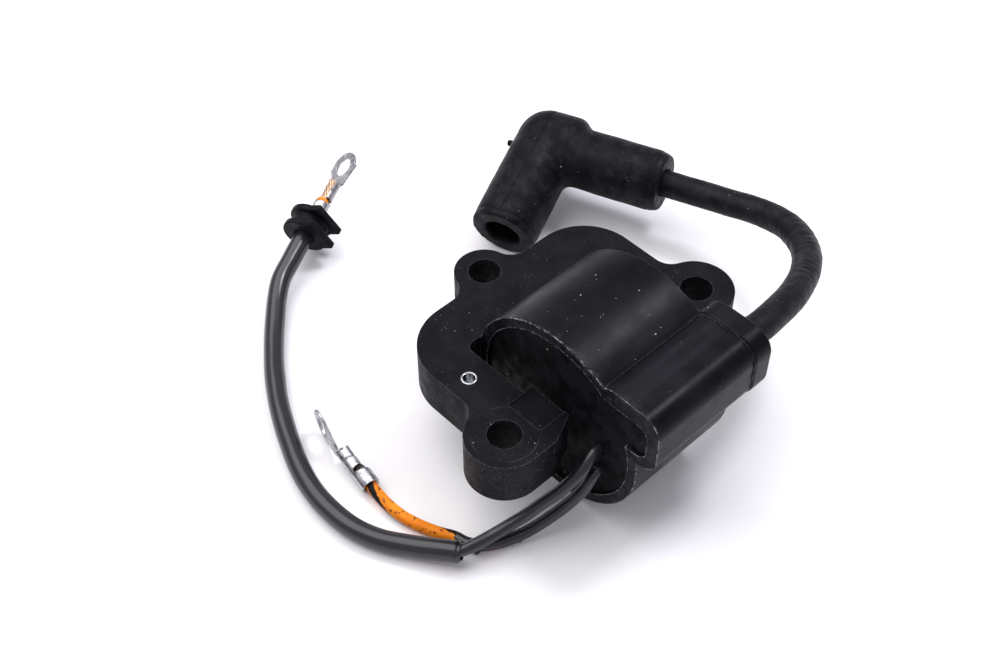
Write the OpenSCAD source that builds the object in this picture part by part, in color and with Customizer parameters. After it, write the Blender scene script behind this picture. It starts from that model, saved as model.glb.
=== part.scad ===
// Small-engine ignition coil: flanged mounting base, potted coil case with a
// high-tension outlet, plug lead with elbow boot, and two low-tension leads.
// Frame: X along the coil axis towards the lead outlet, Y towards the top ear,
// Z up from the surface that the coil rests on. Millimetres.

/* [Mounting base] */
// Distance between the two base holes
hole_spacing = 63.4; // [60:0.1:66]
// Diameter of the three mounting holes
hole_d = 7.94; // [5:0.01:8.5]
// Thickness of the flange
flange_t = 12; // [8:0.5:14]
// Outer radius of the two base ears
ear_r = 9.2; // [8:0.1:9.5]
// Outer radius of the top ear
top_ear_r = 7.4; // [6.5:0.1:8]

/* [Coil case] */
// Outer radius of the round coil case
case_r = 25; // [24:0.1:26]
// Wall thickness of the round coil case
case_wall = 2.6; // [2:0.1:3]
// Height of the flange's top face above the resting surface
flange_top = 30.5; // [29:0.1:32]
// Side of the square lamination stack
core_side = 10; // [8:0.1:10]
// Number of laminations in the stack
sheet_count = 8; // [4:1:12]
// Number of sections in the secondary winding
section_count = 5; // [3:1:6]

/* [Leads] */
// Diameter of the plug lead
plug_lead_d = 7.3; // [7:0.1:7.4]
// Diameter of the two low-tension leads
lead_d = 3; // [2.6:0.1:3]
// Diameter of the sleeve on the long low-tension lead
sleeve_d = 5.2; // [4.6:0.1:5.4]
// Diameter of the stud hole in the ring terminals
stud_hole_d = 5.3; // [4.3:0.1:5.5]

/* [Plug boot] */
// Length of the boot's plug leg from the corner to the mouth
plug_leg = 29.5; // [28:0.5:33]
// Length of the boot's lead leg from the corner to its end
lead_leg = 35; // [32:0.5:37]
// Diameter of the socket that takes the spark plug
socket_d = 10; // [8:0.1:11]

/* [Hidden] */
$fn = 64;
eps = 0.01;

// Coil axis and the two ends of the case
axis_y = -8.1;
axis_z = 24.5;
case_x0 = -16;
case_x1 = 15;
cavity_r = case_r - case_wall;
floor_x = case_x1 - 2.5;

// High-tension outlet: a rounded block on the case's shoulder
block_y = [-38.1, -20.1];
block_z = [29.5, 46.5];
block_r = 5;
outlet_y = (block_y[0] + block_y[1]) / 2;
outlet_z = (block_z[0] + block_z[1]) / 2;
outlet_end = 20.5;
lead_bore = plug_lead_d + 0.1;
lead_inner_x = 3;
block_back = -4;
tail_x = -6.5;
seal_r = 5.4;
seal_x = [8.5, 11];

// Winding package
pack_x0 = -9;
pack_x1 = 12.4;
pack_r = 18.6;
core_bore_r = 7.2;
primary_r = [8.2, 11.4];
wrap_r = 12.1;
secondary_r = [12.2, 13.2, 17.8];
cheek = 1;

// Flange
flange_z = flange_top - flange_t;
ear_y = axis_y;
top_ear = [-1, 31];
slot_x = -20.5;
slot_narrow_x = -17.5;
eyelet_at = [-26.5, 8.9];
eyelet_d = [2.8, 3.8];

// Low-tension lead exits on the potted end
exit_a = [-21.5, 23];
exit_b = [-22.6, 17.1];
lead_inner = -12;
potting_face = -15.2;

// Plug boot: corner of the elbow, heading and rise of its lead leg, and how far
// it is turned about the lead, which sets the lip of its mouth on the surface
boot_at = [52.9, 63.4, 16.5];
boot_heading = -70;
boot_rise = 2;
boot_roll = 15.5;
lead_depth = 24;
lead_stop = lead_leg - lead_depth;
boot_dir = heading_dir(boot_heading, boot_rise);
socket_y = -15;

// Straight end of the sleeve, where the grommet sits
sleeve_end = [-7.4, 92.2, 9.4];
sleeve_heading = 25;
sleeve_rise = 11.5;
sleeve_dir = heading_dir(sleeve_heading, sleeve_rise);
straight_run = 20;
grommet_l = 6.7;

// End of the short low-tension lead
short_end = [-50.1, 17.7, 2.3];
short_heading = 82;
short_rise = 8;

// Routes of the free leads, in the order that each leaves the case
plug_route = [
    [lead_inner_x, outlet_y, outlet_z], [12, outlet_y, outlet_z], [outlet_end, outlet_y, outlet_z],
    [27, -29.6, 37.4], [34, -28.9, 36.2], [42, -27.4, 34.4], [49.8, -24.9, 32.2],
    [57, -21.4, 29.8], [63, -16.9, 27.6], [67.6, -11.3, 25.5], [70.4, -5.3, 23.7],
    [71.3, 0.6, 22.2], [71, 6.7, 20.8], [70.2, 12.7, 19.3],
    boot_at + boot_dir * (lead_leg + 13), boot_at + boot_dir * (lead_leg + 6),
    boot_at + boot_dir * (lead_leg - 8), boot_at + boot_dir * (lead_leg - lead_depth)];
route_a = [
    [lead_inner, exit_a[0], exit_a[1]], [case_x0 - 1, exit_a[0], exit_a[1]], [-21, -21.8, 20.6],
    [-25.5, -20.4, 16.4], [-29.5, -18.2, 12.6], [-33, -16.5, 9.7], [-36.6, -14.9, 7.6],
    [-40.5, -13.5, 6.1], [-44.5, -12.3, 5.2], [-48, -11, 4.6], [-50.2, -8.2, 4]];
sleeve_route = [
    [-48, -11.4, 4.6], [-50.8, -7.2, 3.9], [-54.9, -1, 3.1], [-58.4, 4.8, 2.7], [-60.6, 10.5, 2.7],
    [-61.5, 17, 2.7], [-61.4, 23, 2.7], [-60.6, 28.5, 2.7], [-59, 34.2, 2.7], [-56.5, 40.6, 2.7],
    [-53.4, 47.4, 2.7], [-50.2, 53.6, 2.7], [-46.6, 59.4, 2.7], [-42.8, 64.8, 2.7], [-38.8, 70, 2.9],
    [-34.5, 75, 3.4], [-30, 79.8, 4.2],
    sleeve_end - sleeve_dir * straight_run, sleeve_end - sleeve_dir * 14,
    sleeve_end - sleeve_dir * 7, sleeve_end];
route_b = [
    [lead_inner, exit_b[0], exit_b[1]], [case_x0 - 1, exit_b[0], exit_b[1]], [-20.5, -22.2, 13.4],
    [-24.5, -20.6, 9], [-28.2, -18.8, 5.8], [-31.8, -17.1, 3.4], [-36, -15.2, 2],
    [-39.8, -13.2, 1.6], [-42.6, -11.2, 1.6], [-44.3, -8.7, 1.6], [-45, -6, 1.6]];
wire_b = [
    [-45, -6, 1.6], [-46.8, -2.7, 1.6], [-48.7, 1.8, 1.6], [-50.1, 7, 1.6], [-50.5, 12.4, 1.8], short_end];

// ---- helpers ----

function unit(v) = v / norm(v);

function heading_dir(heading, rise) = [cos(rise) * cos(heading), cos(rise) * sin(heading), sin(rise)];

function tangent(pts, i) = unit(pts[min(i + 1, len(pts) - 1)] - pts[max(i - 1, 0)]);

// One ring of a swept tube; guide is any vector that the path never runs along
function ring(p, t, r, sides, guide) =
    let (side = unit(cross(guide, t)), up = cross(t, side))
    [for (k = [0:sides - 1]) p + r * (cos(360 * k / sides) * side + sin(360 * k / sides) * up)];

// Closed tube of diameter d along the points
module swept_tube(pts, d, sides = 8, guide = [0, 0, 1]) {
    count = len(pts);
    rings = [for (i = [0:count - 1]) each ring(pts[i], tangent(pts, i), d / 2, sides, guide)];
    walls = [for (i = [0:count - 2], k = [0:sides - 1])
        let (a = i * sides + k, b = i * sides + (k + 1) % sides) [a, a + sides, b + sides, b]];
    start = [[for (k = [0:sides - 1]) k]];
    finish = [[for (k = [sides - 1:-1:0]) (count - 1) * sides + k]];
    polyhedron(points = rings, faces = concat(start, walls, finish), convexity = 6);
}

// Cylinder along X from x0 to x1 on the line y, z
module rod_x(x0, x1, r, y = axis_y, z = axis_z) {
    translate([x0, y, z]) rotate([0, 90, 0]) cylinder(r = r, h = x1 - x0);
}

// Tube along X
module pipe_x(x0, x1, r_in, r_out, y = axis_y, z = axis_z) {
    difference() {
        rod_x(x0, x1, r_out, y, z);
        rod_x(x0 - 1, x1 + 1, r_in, y, z);
    }
}

// Extrude a (Y, Z) outline along X from x0 to x1
module along_x(x0, x1) {
    translate([x0, 0, 0]) rotate([90, 0, 90]) linear_extrude(x1 - x0) children();
}

// Rectangle with true round corners
module round_rect(lo, hi, r) {
    translate([lo[0] + r, lo[1]]) square([hi[0] - lo[0] - 2 * r, hi[1] - lo[1]]);
    translate([lo[0], lo[1] + r]) square([hi[0] - lo[0], hi[1] - lo[1] - 2 * r]);
    for (u = [lo[0] + r, hi[0] - r], v = [lo[1] + r, hi[1] - r]) translate([u, v]) circle(r);
}

// Outline of the outlet block, grown by g
module block_outline(g = 0) {
    round_rect([block_y[0] - g, block_z[0] - g], [block_y[1] + g, block_z[1] + g], block_r + g);
}

// Place children at p with their X along the heading and rise
module aimed(p, heading, rise, roll = 0) {
    translate(p) rotate([0, -rise, heading]) rotate([roll, 0, 0]) children();
}

// ---- mounting base ----

// Flange outline before the case opening is cut
module flange_outline() {
    half = hole_spacing / 2;
    offset(r = -5) offset(delta = 5) {
        for (s = [-1, 1]) translate([s * half, ear_y]) circle(ear_r);
        translate(top_ear) circle(top_ear_r);
        hull() for (s = [-1, 1]) {
            translate([s * 18, 15.3]) circle(14);
            translate([s * 22, 5]) circle(10);
        }
        translate([-half, ear_y - ear_r]) square([2 * half, 20]);
    }
}

// Opening past the open end of the case: a slot that runs out at the lower edge
module end_slot() {
    wide_y = -2;
    translate([slot_x + 2, wide_y]) square([case_x0 - slot_x - 2 + eps, 18.4]);
    translate([slot_x, wide_y]) square([3, 16.4]);
    translate([slot_x + 2, 14.4]) circle(2);
    translate([slot_narrow_x, -30]) square([case_x0 - slot_narrow_x + eps, 30]);
}

module mounting_base() {
    color("#26262a") {
        difference() {
            translate([0, 0, flange_z]) linear_extrude(flange_t) difference() {
                flange_outline();
                end_slot();
                translate([case_x0, -30]) square([case_x1 - case_x0, 22]);
                translate([-23.6, ear_y - ear_r - 5]) rotate(25) square([12, 5]);
            }
            rod_x(case_x0, case_x1, case_r);
            for (s = [-1, 1]) translate([s * hole_spacing / 2, ear_y, 0]) cylinder(d = hole_d, h = 60);
            translate([top_ear[0], top_ear[1], 0]) cylinder(d = hole_d, h = 60);
            translate([eyelet_at[0], eyelet_at[1], 0]) cylinder(d = eyelet_d[1], h = 60);
            translate([-25.4, -12.7, flange_top - 0.5]) cube([9, 10, 1]);
        }
        // Foot web that carries the flange beside the case
        difference() {
            along_x(-5, 5) polygon([[2, 0], [14, 0], [25, flange_z], [2, flange_z]]);
            rod_x(-6, 6, case_r);
        }
    }
}

module locating_eyelet() {
    color("silver") translate([eyelet_at[0], eyelet_at[1], flange_z]) difference() {
        cylinder(d = eyelet_d[1], h = flange_t + 0.2);
        translate([0, 0, -1]) cylinder(d = eyelet_d[0], h = flange_t + 3);
    }
}

// ---- case and outlet ----

// Pocket in the outlet block, open to the round cavity
module pocket_outline(gap = 0) {
    round_rect([-34.9 + gap, 32 + gap], [-12 - gap, 42 - gap], 3);
}

module coil_case() {
    color("#1b1b1f") difference() {
        intersection() {
            along_x(case_x0, case_x1) {
                translate([axis_y, axis_z]) circle(case_r);
                block_outline();
            }
            translate([case_x0, -60, 0]) cube([case_x1 - case_x0, 120, 60]);
        }
        along_x(case_x0 - 1, block_back) pocket_outline();
        rod_x(case_x0 - 1, floor_x, cavity_r);
        rod_x(block_back - 1, case_x1 + 1, 1.3, outlet_y, outlet_z);
        rod_x(lead_inner_x - 1, case_x1 + 1, lead_bore / 2, outlet_y, outlet_z);
        rod_x(seal_x[0], case_x1 + 1, seal_r, outlet_y, outlet_z);
    }
}

module outlet_cap() {
    color("#222226") difference() {
        union() {
            along_x(case_x1, outlet_end) block_outline(0.3);
            rod_x(seal_x[1], case_x1 + 1, seal_r, outlet_y, outlet_z);
        }
        rod_x(seal_x[1] - 1, outlet_end + 1, lead_bore / 2, outlet_y, outlet_z);
    }
}

module lead_seal() {
    color("#3a3030") pipe_x(seal_x[0], seal_x[1], lead_bore / 2, seal_r, outlet_y, outlet_z);
}

module potting_fill() {
    color("#2b2b30") difference() {
        union() {
            along_x(potting_face, block_back - 0.05) pocket_outline(0.05);
            rod_x(potting_face, floor_x - 0.05, cavity_r - 0.05);
        }
        rod_x(pack_x0, floor_x + 1, pack_r + 0.05);
        // Room for the tail, the high-tension terminal, the lead's end and its seal
        tail_rod(0.35);
        rod_x(tail_x - 1, lead_inner_x, 1.3, outlet_y, outlet_z);
        rod_x(lead_inner_x - 1.1, case_x1, lead_bore / 2, outlet_y, outlet_z);
        rod_x(seal_x[0] - 0.1, case_x1, seal_r + 0.1, outlet_y, outlet_z);
        for (e = [exit_a, exit_b]) {
            rod_x(case_x0 - 1, lead_inner, lead_d / 2 + 0.05, e[0], e[1]);
            rod_x(lead_inner - 1, pack_x0 + 1, 1.05, e[0], e[1]);
        }
    }
}

// ---- core and windings ----

module core_laminations() {
    pitch = core_side / sheet_count;
    sheet = pitch - 0.05;
    color("#8a8d92") for (i = [0:sheet_count - 1])
        translate([pack_x0 + 0.2, axis_y - core_side / 2, axis_z - core_side / 2 + i * pitch])
            cube([pack_x1 - pack_x0 - 0.4, core_side, sheet]);
}

module primary_bobbin() {
    color("#d8cfb4") difference() {
        union() {
            rod_x(pack_x0, pack_x1, primary_r[0]);
            rod_x(pack_x0, pack_x0 + cheek, wrap_r);
            rod_x(pack_x1 - cheek, pack_x1, wrap_r);
        }
        rod_x(pack_x0 - 1, pack_x1 + 1, core_bore_r);
    }
}

module primary_winding() {
    color("#b46a2e") pipe_x(pack_x0 + cheek, pack_x1 - cheek, primary_r[0], primary_r[1]);
}

module insulation_wrap() {
    color("#c9b26a") pipe_x(pack_x0 + cheek, pack_x1 - cheek, primary_r[1], wrap_r);
}

module secondary_bobbin() {
    pitch = (pack_x1 - pack_x0 - cheek) / section_count;
    color("#e2dcc8") difference() {
        union() {
            rod_x(pack_x0, pack_x1, secondary_r[1]);
            for (i = [0:section_count]) rod_x(pack_x0 + i * pitch, pack_x0 + i * pitch + cheek, pack_r);
        }
        rod_x(pack_x0 - 1, pack_x1 + 1, secondary_r[0]);
    }
}

module secondary_winding() {
    pitch = (pack_x1 - pack_x0 - cheek) / section_count;
    color("#a8562a") for (i = [0:section_count - 1])
        pipe_x(pack_x0 + i * pitch + cheek, pack_x0 + (i + 1) * pitch, secondary_r[1], secondary_r[2]);
}

// Rod from the outer winding to the high-tension terminal
module tail_rod(r) {
    reach = norm([outlet_y - axis_y, outlet_z - axis_z]);
    tilt = atan2(outlet_z - axis_z, outlet_y - axis_y);
    translate([tail_x, axis_y, axis_z]) rotate([tilt, 0, 0])
        translate([0, pack_r + 0.1, 0]) rotate([-90, 0, 0]) cylinder(r = r, h = reach - pack_r - 1.5);
}

module secondary_tail() {
    color("#b46a2e") tail_rod(0.3);
}

module hv_terminal() {
    color("#c8a24a") {
        rod_x(tail_x - 0.7, lead_inner_x - 1, 1.25, outlet_y, outlet_z);
        rod_x(lead_inner_x - 1, lead_inner_x, 3.4, outlet_y, outlet_z);
        rod_x(lead_inner_x, lead_inner_x + 5, 0.6, outlet_y, outlet_z);
    }
}

module primary_tags() {
    color("#c8a24a") for (e = [exit_a, exit_b]) rod_x(lead_inner, pack_x0, 1, e[0], e[1]);
}

// ---- plug lead and boot ----

module plug_lead() {
    color("#17171a") swept_tube(plug_route, plug_lead_d, 12);
}

module in_boot() {
    aimed(boot_at, boot_heading, boot_rise, boot_roll) children();
}

// Cylinder along the boot's plug leg, from y0 towards the mouth
module plug_rod(y0, h, r, r_end = 0) {
    translate([0, y0, 0]) rotate([90, 0, 0]) cylinder(r1 = r, r2 = r_end == 0 ? r : r_end, h = h);
}

// Cylinder along the boot's lead leg
module lead_rod(x0, h, r, r_end = 0, y = 0) {
    translate([x0, y, 0]) rotate([0, 90, 0]) cylinder(r1 = r, r2 = r_end == 0 ? r : r_end, h = h);
}

module lead_pin() {
    color("#c8a24a") in_boot() lead_rod(-3, lead_stop + 3, 1.2);
}

module plug_boot() {
    leg_r = 9.2;
    lead_r = 8.3;
    knuckle_y = 1.6;
    shoulder = 8;
    lip = 2;
    color("#1c1c20") in_boot() difference() {
        union() {
            translate([0, knuckle_y, 0]) sphere(leg_r);
            plug_rod(knuckle_y, plug_leg + knuckle_y - lip, leg_r);
            plug_rod(lip - plug_leg, lip, leg_r + 0.1, leg_r - 0.3);
            lead_rod(0, shoulder, leg_r, y = knuckle_y);
            lead_rod(shoulder, 3, leg_r, lead_r - 1.6, y = knuckle_y);
            lead_rod(0, lead_leg - lip, lead_r);
            lead_rod(lead_leg - lip, lip, lead_r - 0.3, lead_r - 0.8);
            // Moulding nub on the outside of the elbow
            lead_rod(-10.7, 3, 0.7, y = -1.7);
        }
        lead_rod(lead_stop - 1, lead_leg, lead_bore / 2);
        lead_rod(0, lead_stop, 2);
        plug_rod(socket_y, plug_leg, socket_d / 2);
        plug_rod(3, 4 - socket_y, 4.3);
    }
}

module boot_contact() {
    coil_r = 3.4;
    wire = 0.8;
    turns = 7;
    steps = 12;
    top = -4.4;
    pitch = 1.3;
    coil = [for (i = [0:turns * steps]) let (a = 360 * i / steps)
        [coil_r * cos(a), top - pitch * i / steps, coil_r * sin(a)]];
    color("#c9ccd1") in_boot() {
        swept_tube(coil, wire, 6, [0, 1, 0]);
        // Eye that turns on the lead pin, and the tail that joins it to the spring
        rotate([0, 90, 0]) rotate_extrude() translate([1.3 + wire / 2, 0]) circle(wire / 2);
        swept_tube([[0, -1.7, 0], [0.4, -2.8, 0], [2, -3.9, 0], [coil_r, top, 0]], wire, 6, [0, 0, 1]);
    }
}

// ---- low-tension leads ----

module long_lead() {
    color("#141416") swept_tube(route_a, lead_d, 8);
}

module lead_sleeve() {
    color("#19191d") swept_tube(sleeve_route, sleeve_d, 12);
}

// Flange of the grommet: round on one side, square on the other
module grommet_outline(g = 0) {
    circle(6.2 + g);
    translate([0, -5.4 - g]) square([6.5 + g, 10.8 + 2 * g]);
}

module grommet() {
    lip = 1.9;
    color("#202024") aimed(sleeve_end - sleeve_dir * (grommet_l - 0.6), sleeve_heading, sleeve_rise, 155)
    rotate([90, 0, 90]) difference() {
        union() {
            linear_extrude(lip) grommet_outline();
            linear_extrude(grommet_l) circle(4.9);
            translate([0, 0, grommet_l - lip]) linear_extrude(lip) grommet_outline();
        }
        translate([0, 0, -1]) cylinder(d = sleeve_d + 0.1, h = grommet_l + 2);
    }
}

module long_lead_end() {
    color("#e8821e") aimed(sleeve_end, sleeve_heading, sleeve_rise) {
        rotate([0, 90, 0]) cylinder(d = lead_d - 0.1, h = 6.7);
        translate([6.7, 0, 0]) rotate([0, 90, 0]) cylinder(r = 0.9, h = 6.4);
    }
}

module short_lead_strands() {
    color("#b9a48a") aimed(short_end, short_heading, short_rise)
        translate([4.6, 0, 0]) rotate([0, 90, 0]) cylinder(r = 0.9, h = 7.6);
}

// Crimp terminal: insulation band, wire barrel and a flat tongue with a stud hole;
// reach is the length of the tongue up to the middle of the hole
module ring_terminal(band_x, reach, bend) {
    band_r = lead_d / 2 + 0.5;
    band_l = 3.9;
    barrel_l = 5.6;
    sheet = 0.8;
    barrel_x = band_x + band_l + 2;
    tongue_x = barrel_x + barrel_l + 0.4;
    base_z = -band_r;
    difference() {
        translate([band_x, 0, 0]) rotate([0, 90, 0]) cylinder(r = band_r, h = band_l);
        translate([band_x - 1, 0, 0]) rotate([0, 90, 0]) cylinder(d = lead_d, h = band_l + 2);
    }
    difference() {
        translate([barrel_x, 0, 0]) rotate([0, 90, 0]) cylinder(r = 1.6, h = barrel_l);
        translate([barrel_x - 1, 0, 0]) rotate([0, 90, 0]) cylinder(r = 0.9, h = barrel_l + 2);
    }
    difference() {
        translate([band_x, -1.3, base_z]) cube([tongue_x - band_x + 0.6, 2.6, sheet]);
        translate([band_x - 1, 0, 0]) rotate([0, 90, 0]) cylinder(d = lead_d, h = barrel_x - band_x + 1);
        translate([barrel_x - 1, 0, 0]) rotate([0, 90, 0]) cylinder(r = 0.9, h = barrel_l + 4);
    }
    translate([tongue_x, 0, base_z]) rotate([0, -bend, 0]) difference() {
        linear_extrude(sheet) hull() {
            translate([reach, 0]) circle(4.7);
            translate([0, -1.3]) square([1, 2.6]);
        }
        translate([reach, 0, -1]) cylinder(d = stud_hole_d, h = 3);
    }
}

module ring_terminal_a() {
    color("#c4c8cc") aimed(sleeve_end, sleeve_heading, sleeve_rise, -35) ring_terminal(1.2, 6, 10);
}

module short_lead() {
    color("#141416") swept_tube(route_b, lead_d, 8);
}

module short_lead_wire() {
    color("#e8821e") {
        swept_tube(wire_b, lead_d - 0.1, 8);
        aimed(short_end, short_heading, short_rise) rotate([0, 90, 0]) cylinder(d = lead_d - 0.1, h = 4.6);
    }
}

module ring_terminal_b() {
    color("#c4c8cc") aimed(short_end, short_heading, short_rise, 86) ring_terminal(0.4, 8, 6);
}

mounting_base();
locating_eyelet();
coil_case();
outlet_cap();
lead_seal();
potting_fill();
core_laminations();
primary_bobbin();
primary_winding();
insulation_wrap();
secondary_bobbin();
secondary_winding();
secondary_tail();
hv_terminal();
primary_tags();
plug_lead();
lead_pin();
plug_boot();
boot_contact();
long_lead();
lead_sleeve();
grommet();
long_lead_end();
ring_terminal_a();
short_lead();
short_lead_wire();
short_lead_strands();
ring_terminal_b();
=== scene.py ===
"""Finished look of a small-engine ignition coil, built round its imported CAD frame."""

import logging
import math
from collections.abc import Callable, Sequence
from dataclasses import dataclass, field, replace
from enum import Enum

import bmesh
import bpy
import numpy as np
from mathutils import Matrix, Vector, noise


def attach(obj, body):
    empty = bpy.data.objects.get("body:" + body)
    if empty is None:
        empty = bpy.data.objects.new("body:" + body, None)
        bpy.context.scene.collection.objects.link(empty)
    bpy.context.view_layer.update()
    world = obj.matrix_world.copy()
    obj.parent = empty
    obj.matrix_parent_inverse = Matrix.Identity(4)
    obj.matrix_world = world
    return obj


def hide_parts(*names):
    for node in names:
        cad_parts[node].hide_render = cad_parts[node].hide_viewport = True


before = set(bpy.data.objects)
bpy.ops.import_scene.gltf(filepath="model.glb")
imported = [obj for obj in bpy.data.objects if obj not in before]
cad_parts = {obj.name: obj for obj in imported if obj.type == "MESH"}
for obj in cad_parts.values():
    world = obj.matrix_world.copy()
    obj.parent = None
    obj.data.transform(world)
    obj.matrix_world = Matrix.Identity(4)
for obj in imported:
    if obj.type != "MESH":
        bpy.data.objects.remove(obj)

log = logging.getLogger("coil")

MM = 0.001
Colour = tuple[float, float, float]
Point = tuple[float, float, float]
Socket = bpy.types.NodeSocket


class Body(Enum):
    """The rigid bodies that pieces ride on."""

    ROOT = "root"
    BOOT = "boot"
    GROMMET = "grommet_body"


# ---------------------------------------------------------------- materials


class Graph:
    """Builds one node material, with short names for the nodes that the finishes share."""

    def __init__(self, name: str) -> None:
        """Start a material that holds only a principled shader.

        Args:
            name: The material's name.
        """
        self.material = bpy.data.materials.new(name)
        self.material.use_nodes = True
        self.tree = self.material.node_tree
        self.tree.nodes.clear()
        output = self.add("ShaderNodeOutputMaterial")
        self.shader = self.add("ShaderNodeBsdfPrincipled")
        self.join(self.shader.outputs["BSDF"], output.inputs["Surface"])
        self.coords = self.add("ShaderNodeTexCoord")

    def add(self, kind: str, **settings: object) -> bpy.types.Node:
        """Add a node and set its attributes.

        Args:
            kind: Blender's identifier of the node.
            settings: Attributes of the node.

        Returns:
            The new node.
        """
        node = self.tree.nodes.new(kind)
        for key, value in settings.items():
            setattr(node, key, value)
        return node

    def join(self, source: Socket, target: Socket) -> None:
        """Link two sockets."""
        self.tree.links.new(source, target)

    def feed(self, target: Socket, value: Socket | float | Sequence[float]) -> None:
        """Link a socket, or set a plain value on it.

        Args:
            target: The input to feed.
            value: A socket, or a plain value.
        """
        if isinstance(value, bpy.types.NodeSocket):
            self.join(value, target)
        else:
            target.default_value = value

    def place(self, stretch: Point = (1, 1, 1), turn: Point = (0, 0, 0)) -> Socket:
        """Object coordinates in metres, stretched and turned.

        Args:
            stretch: Scale along each axis.
            turn: Rotation in degrees.

        Returns:
            The vector socket.
        """
        mapping = self.add("ShaderNodeMapping")
        mapping.inputs["Scale"].default_value = stretch
        mapping.inputs["Rotation"].default_value = tuple(math.radians(a) for a in turn)
        self.join(self.coords.outputs["Object"], mapping.inputs["Vector"])
        return mapping.outputs["Vector"]

    def noise(
        self, scale: float, detail: float = 3, rough: float = 0.55, where: Socket | None = None
    ) -> Socket:
        """Value noise.

        Args:
            scale: Features per metre.
            detail: Number of octaves.
            rough: How strong the finer octaves are.
            where: Vector to read it at, or None for object coordinates.

        Returns:
            The noise value, about 0.3 to 0.7.
        """
        node = self.add("ShaderNodeTexNoise")
        node.inputs["Scale"].default_value = scale
        node.inputs["Detail"].default_value = detail
        node.inputs["Roughness"].default_value = rough
        self.join(where or self.coords.outputs["Object"], node.inputs["Vector"])
        return node.outputs["Fac"]

    def span(self, value: Socket, low: float, high: float, start: float = 0, end: float = 1) -> Socket:
        """Map a value from low..high to start..end with soft ends.

        Args:
            value: What is mapped.
            low: The value that gives start.
            high: The value that gives end.
            start: Result at low.
            end: Result at high.

        Returns:
            The mapped value.
        """
        node = self.add("ShaderNodeMapRange", interpolation_type="SMOOTHSTEP")
        self.join(value, node.inputs["Value"])
        for key, number in (("From Min", low), ("From Max", high), ("To Min", start), ("To Max", end)):
            node.inputs[key].default_value = number
        return node.outputs["Result"]

    def math(self, operation: str, a: Socket | float, b: Socket | float = 0.0) -> Socket:
        """One arithmetic step on two values.

        Args:
            operation: Blender's name of the step.
            a: First value.
            b: Second value, where the step has one.

        Returns:
            The result.
        """
        node = self.add("ShaderNodeMath", operation=operation)
        self.feed(node.inputs[0], a)
        self.feed(node.inputs[1], b)
        return node.outputs[0]

    def blend(self, share: Socket | float, a: Socket | Colour, b: Socket | Colour) -> Socket:
        """Mix two colours.

        Args:
            share: How much of b there is, 0 to 1.
            a: Colour where share is 0.
            b: Colour where share is 1.

        Returns:
            The mixed colour.
        """
        node = self.add("ShaderNodeMix", data_type="RGBA")
        self.feed(node.inputs[0], share)
        for target, value in ((node.inputs[6], a), (node.inputs[7], b)):
            self.feed(target, (*value, 1) if isinstance(value, tuple) else value)
        return node.outputs[2]

    def axis(self, name: str) -> Socket:
        """One of the object coordinates.

        Args:
            name: X, Y or Z.

        Returns:
            The coordinate in metres.
        """
        split = self.add("ShaderNodeSeparateXYZ")
        self.join(self.coords.outputs["Object"], split.inputs[0])
        return split.outputs[name]

    def along(self) -> tuple[Socket, Socket]:
        """Place on the skin of a tube.

        Returns:
            Turn round the tube, 0 to 1, and metres along it.
        """
        split = self.add("ShaderNodeSeparateXYZ")
        self.join(self.coords.outputs["UV"], split.inputs[0])
        return split.outputs["X"], split.outputs["Y"]

    def specks(self, scale: float, size: float, share: float) -> Socket:
        """Small scattered dots.

        Args:
            scale: Cells per metre.
            size: Radius of a dot as a share of its cell.
            share: Share of the cells that hold one.

        Returns:
            Mask that is 1 in a dot.
        """
        cells = self.add("ShaderNodeTexVoronoi")
        cells.inputs["Scale"].default_value = scale
        self.join(self.coords.outputs["Object"], cells.inputs["Vector"])
        split = self.add("ShaderNodeSeparateColor")
        self.join(cells.outputs["Color"], split.inputs[0])
        reach = self.span(split.outputs[0], 1 - share, 1, 0, size)
        inside = self.math("SUBTRACT", reach, cells.outputs["Distance"])
        return self.span(inside, 0, size * 0.35)

    def edges(self, width: float) -> Socket:
        """Mask of the outer edges.

        Args:
            width: How far it reaches from an edge, in metres.

        Returns:
            Mask that is 1 on an edge.
        """
        round_edge = self.add("ShaderNodeBevel", samples=4)
        round_edge.inputs["Radius"].default_value = width
        plain = self.add("ShaderNodeNewGeometry")
        dot = self.add("ShaderNodeVectorMath", operation="DOT_PRODUCT")
        self.join(round_edge.outputs[0], dot.inputs[0])
        self.join(plain.outputs["Normal"], dot.inputs[1])
        return self.span(dot.outputs["Value"], 0.985, 0.86)

    def relief(self, height: Socket, depth: float, under: Socket | None = None) -> Socket:
        """Bump the surface.

        Args:
            height: Height, 0 to 1.
            depth: What 1 is worth, in metres.
            under: Normal of a coarser relief below it.

        Returns:
            The bumped normal.
        """
        node = self.add("ShaderNodeBump")
        node.inputs["Strength"].default_value = 1.0
        node.inputs["Distance"].default_value = depth
        self.join(height, node.inputs["Height"])
        if under is not None:
            self.join(under, node.inputs["Normal"])
        return node.outputs["Normal"]

    def shade(self, **values: Socket | float | Sequence[float]) -> None:
        """Feed the principled shader.

        Args:
            values: Its inputs by name, with underscores for spaces.
        """
        for key, value in values.items():
            target = self.shader.inputs[key.replace("_", " ")]
            self.feed(target, (*value, 1) if isinstance(value, tuple) and len(value) == 3 else value)


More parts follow.
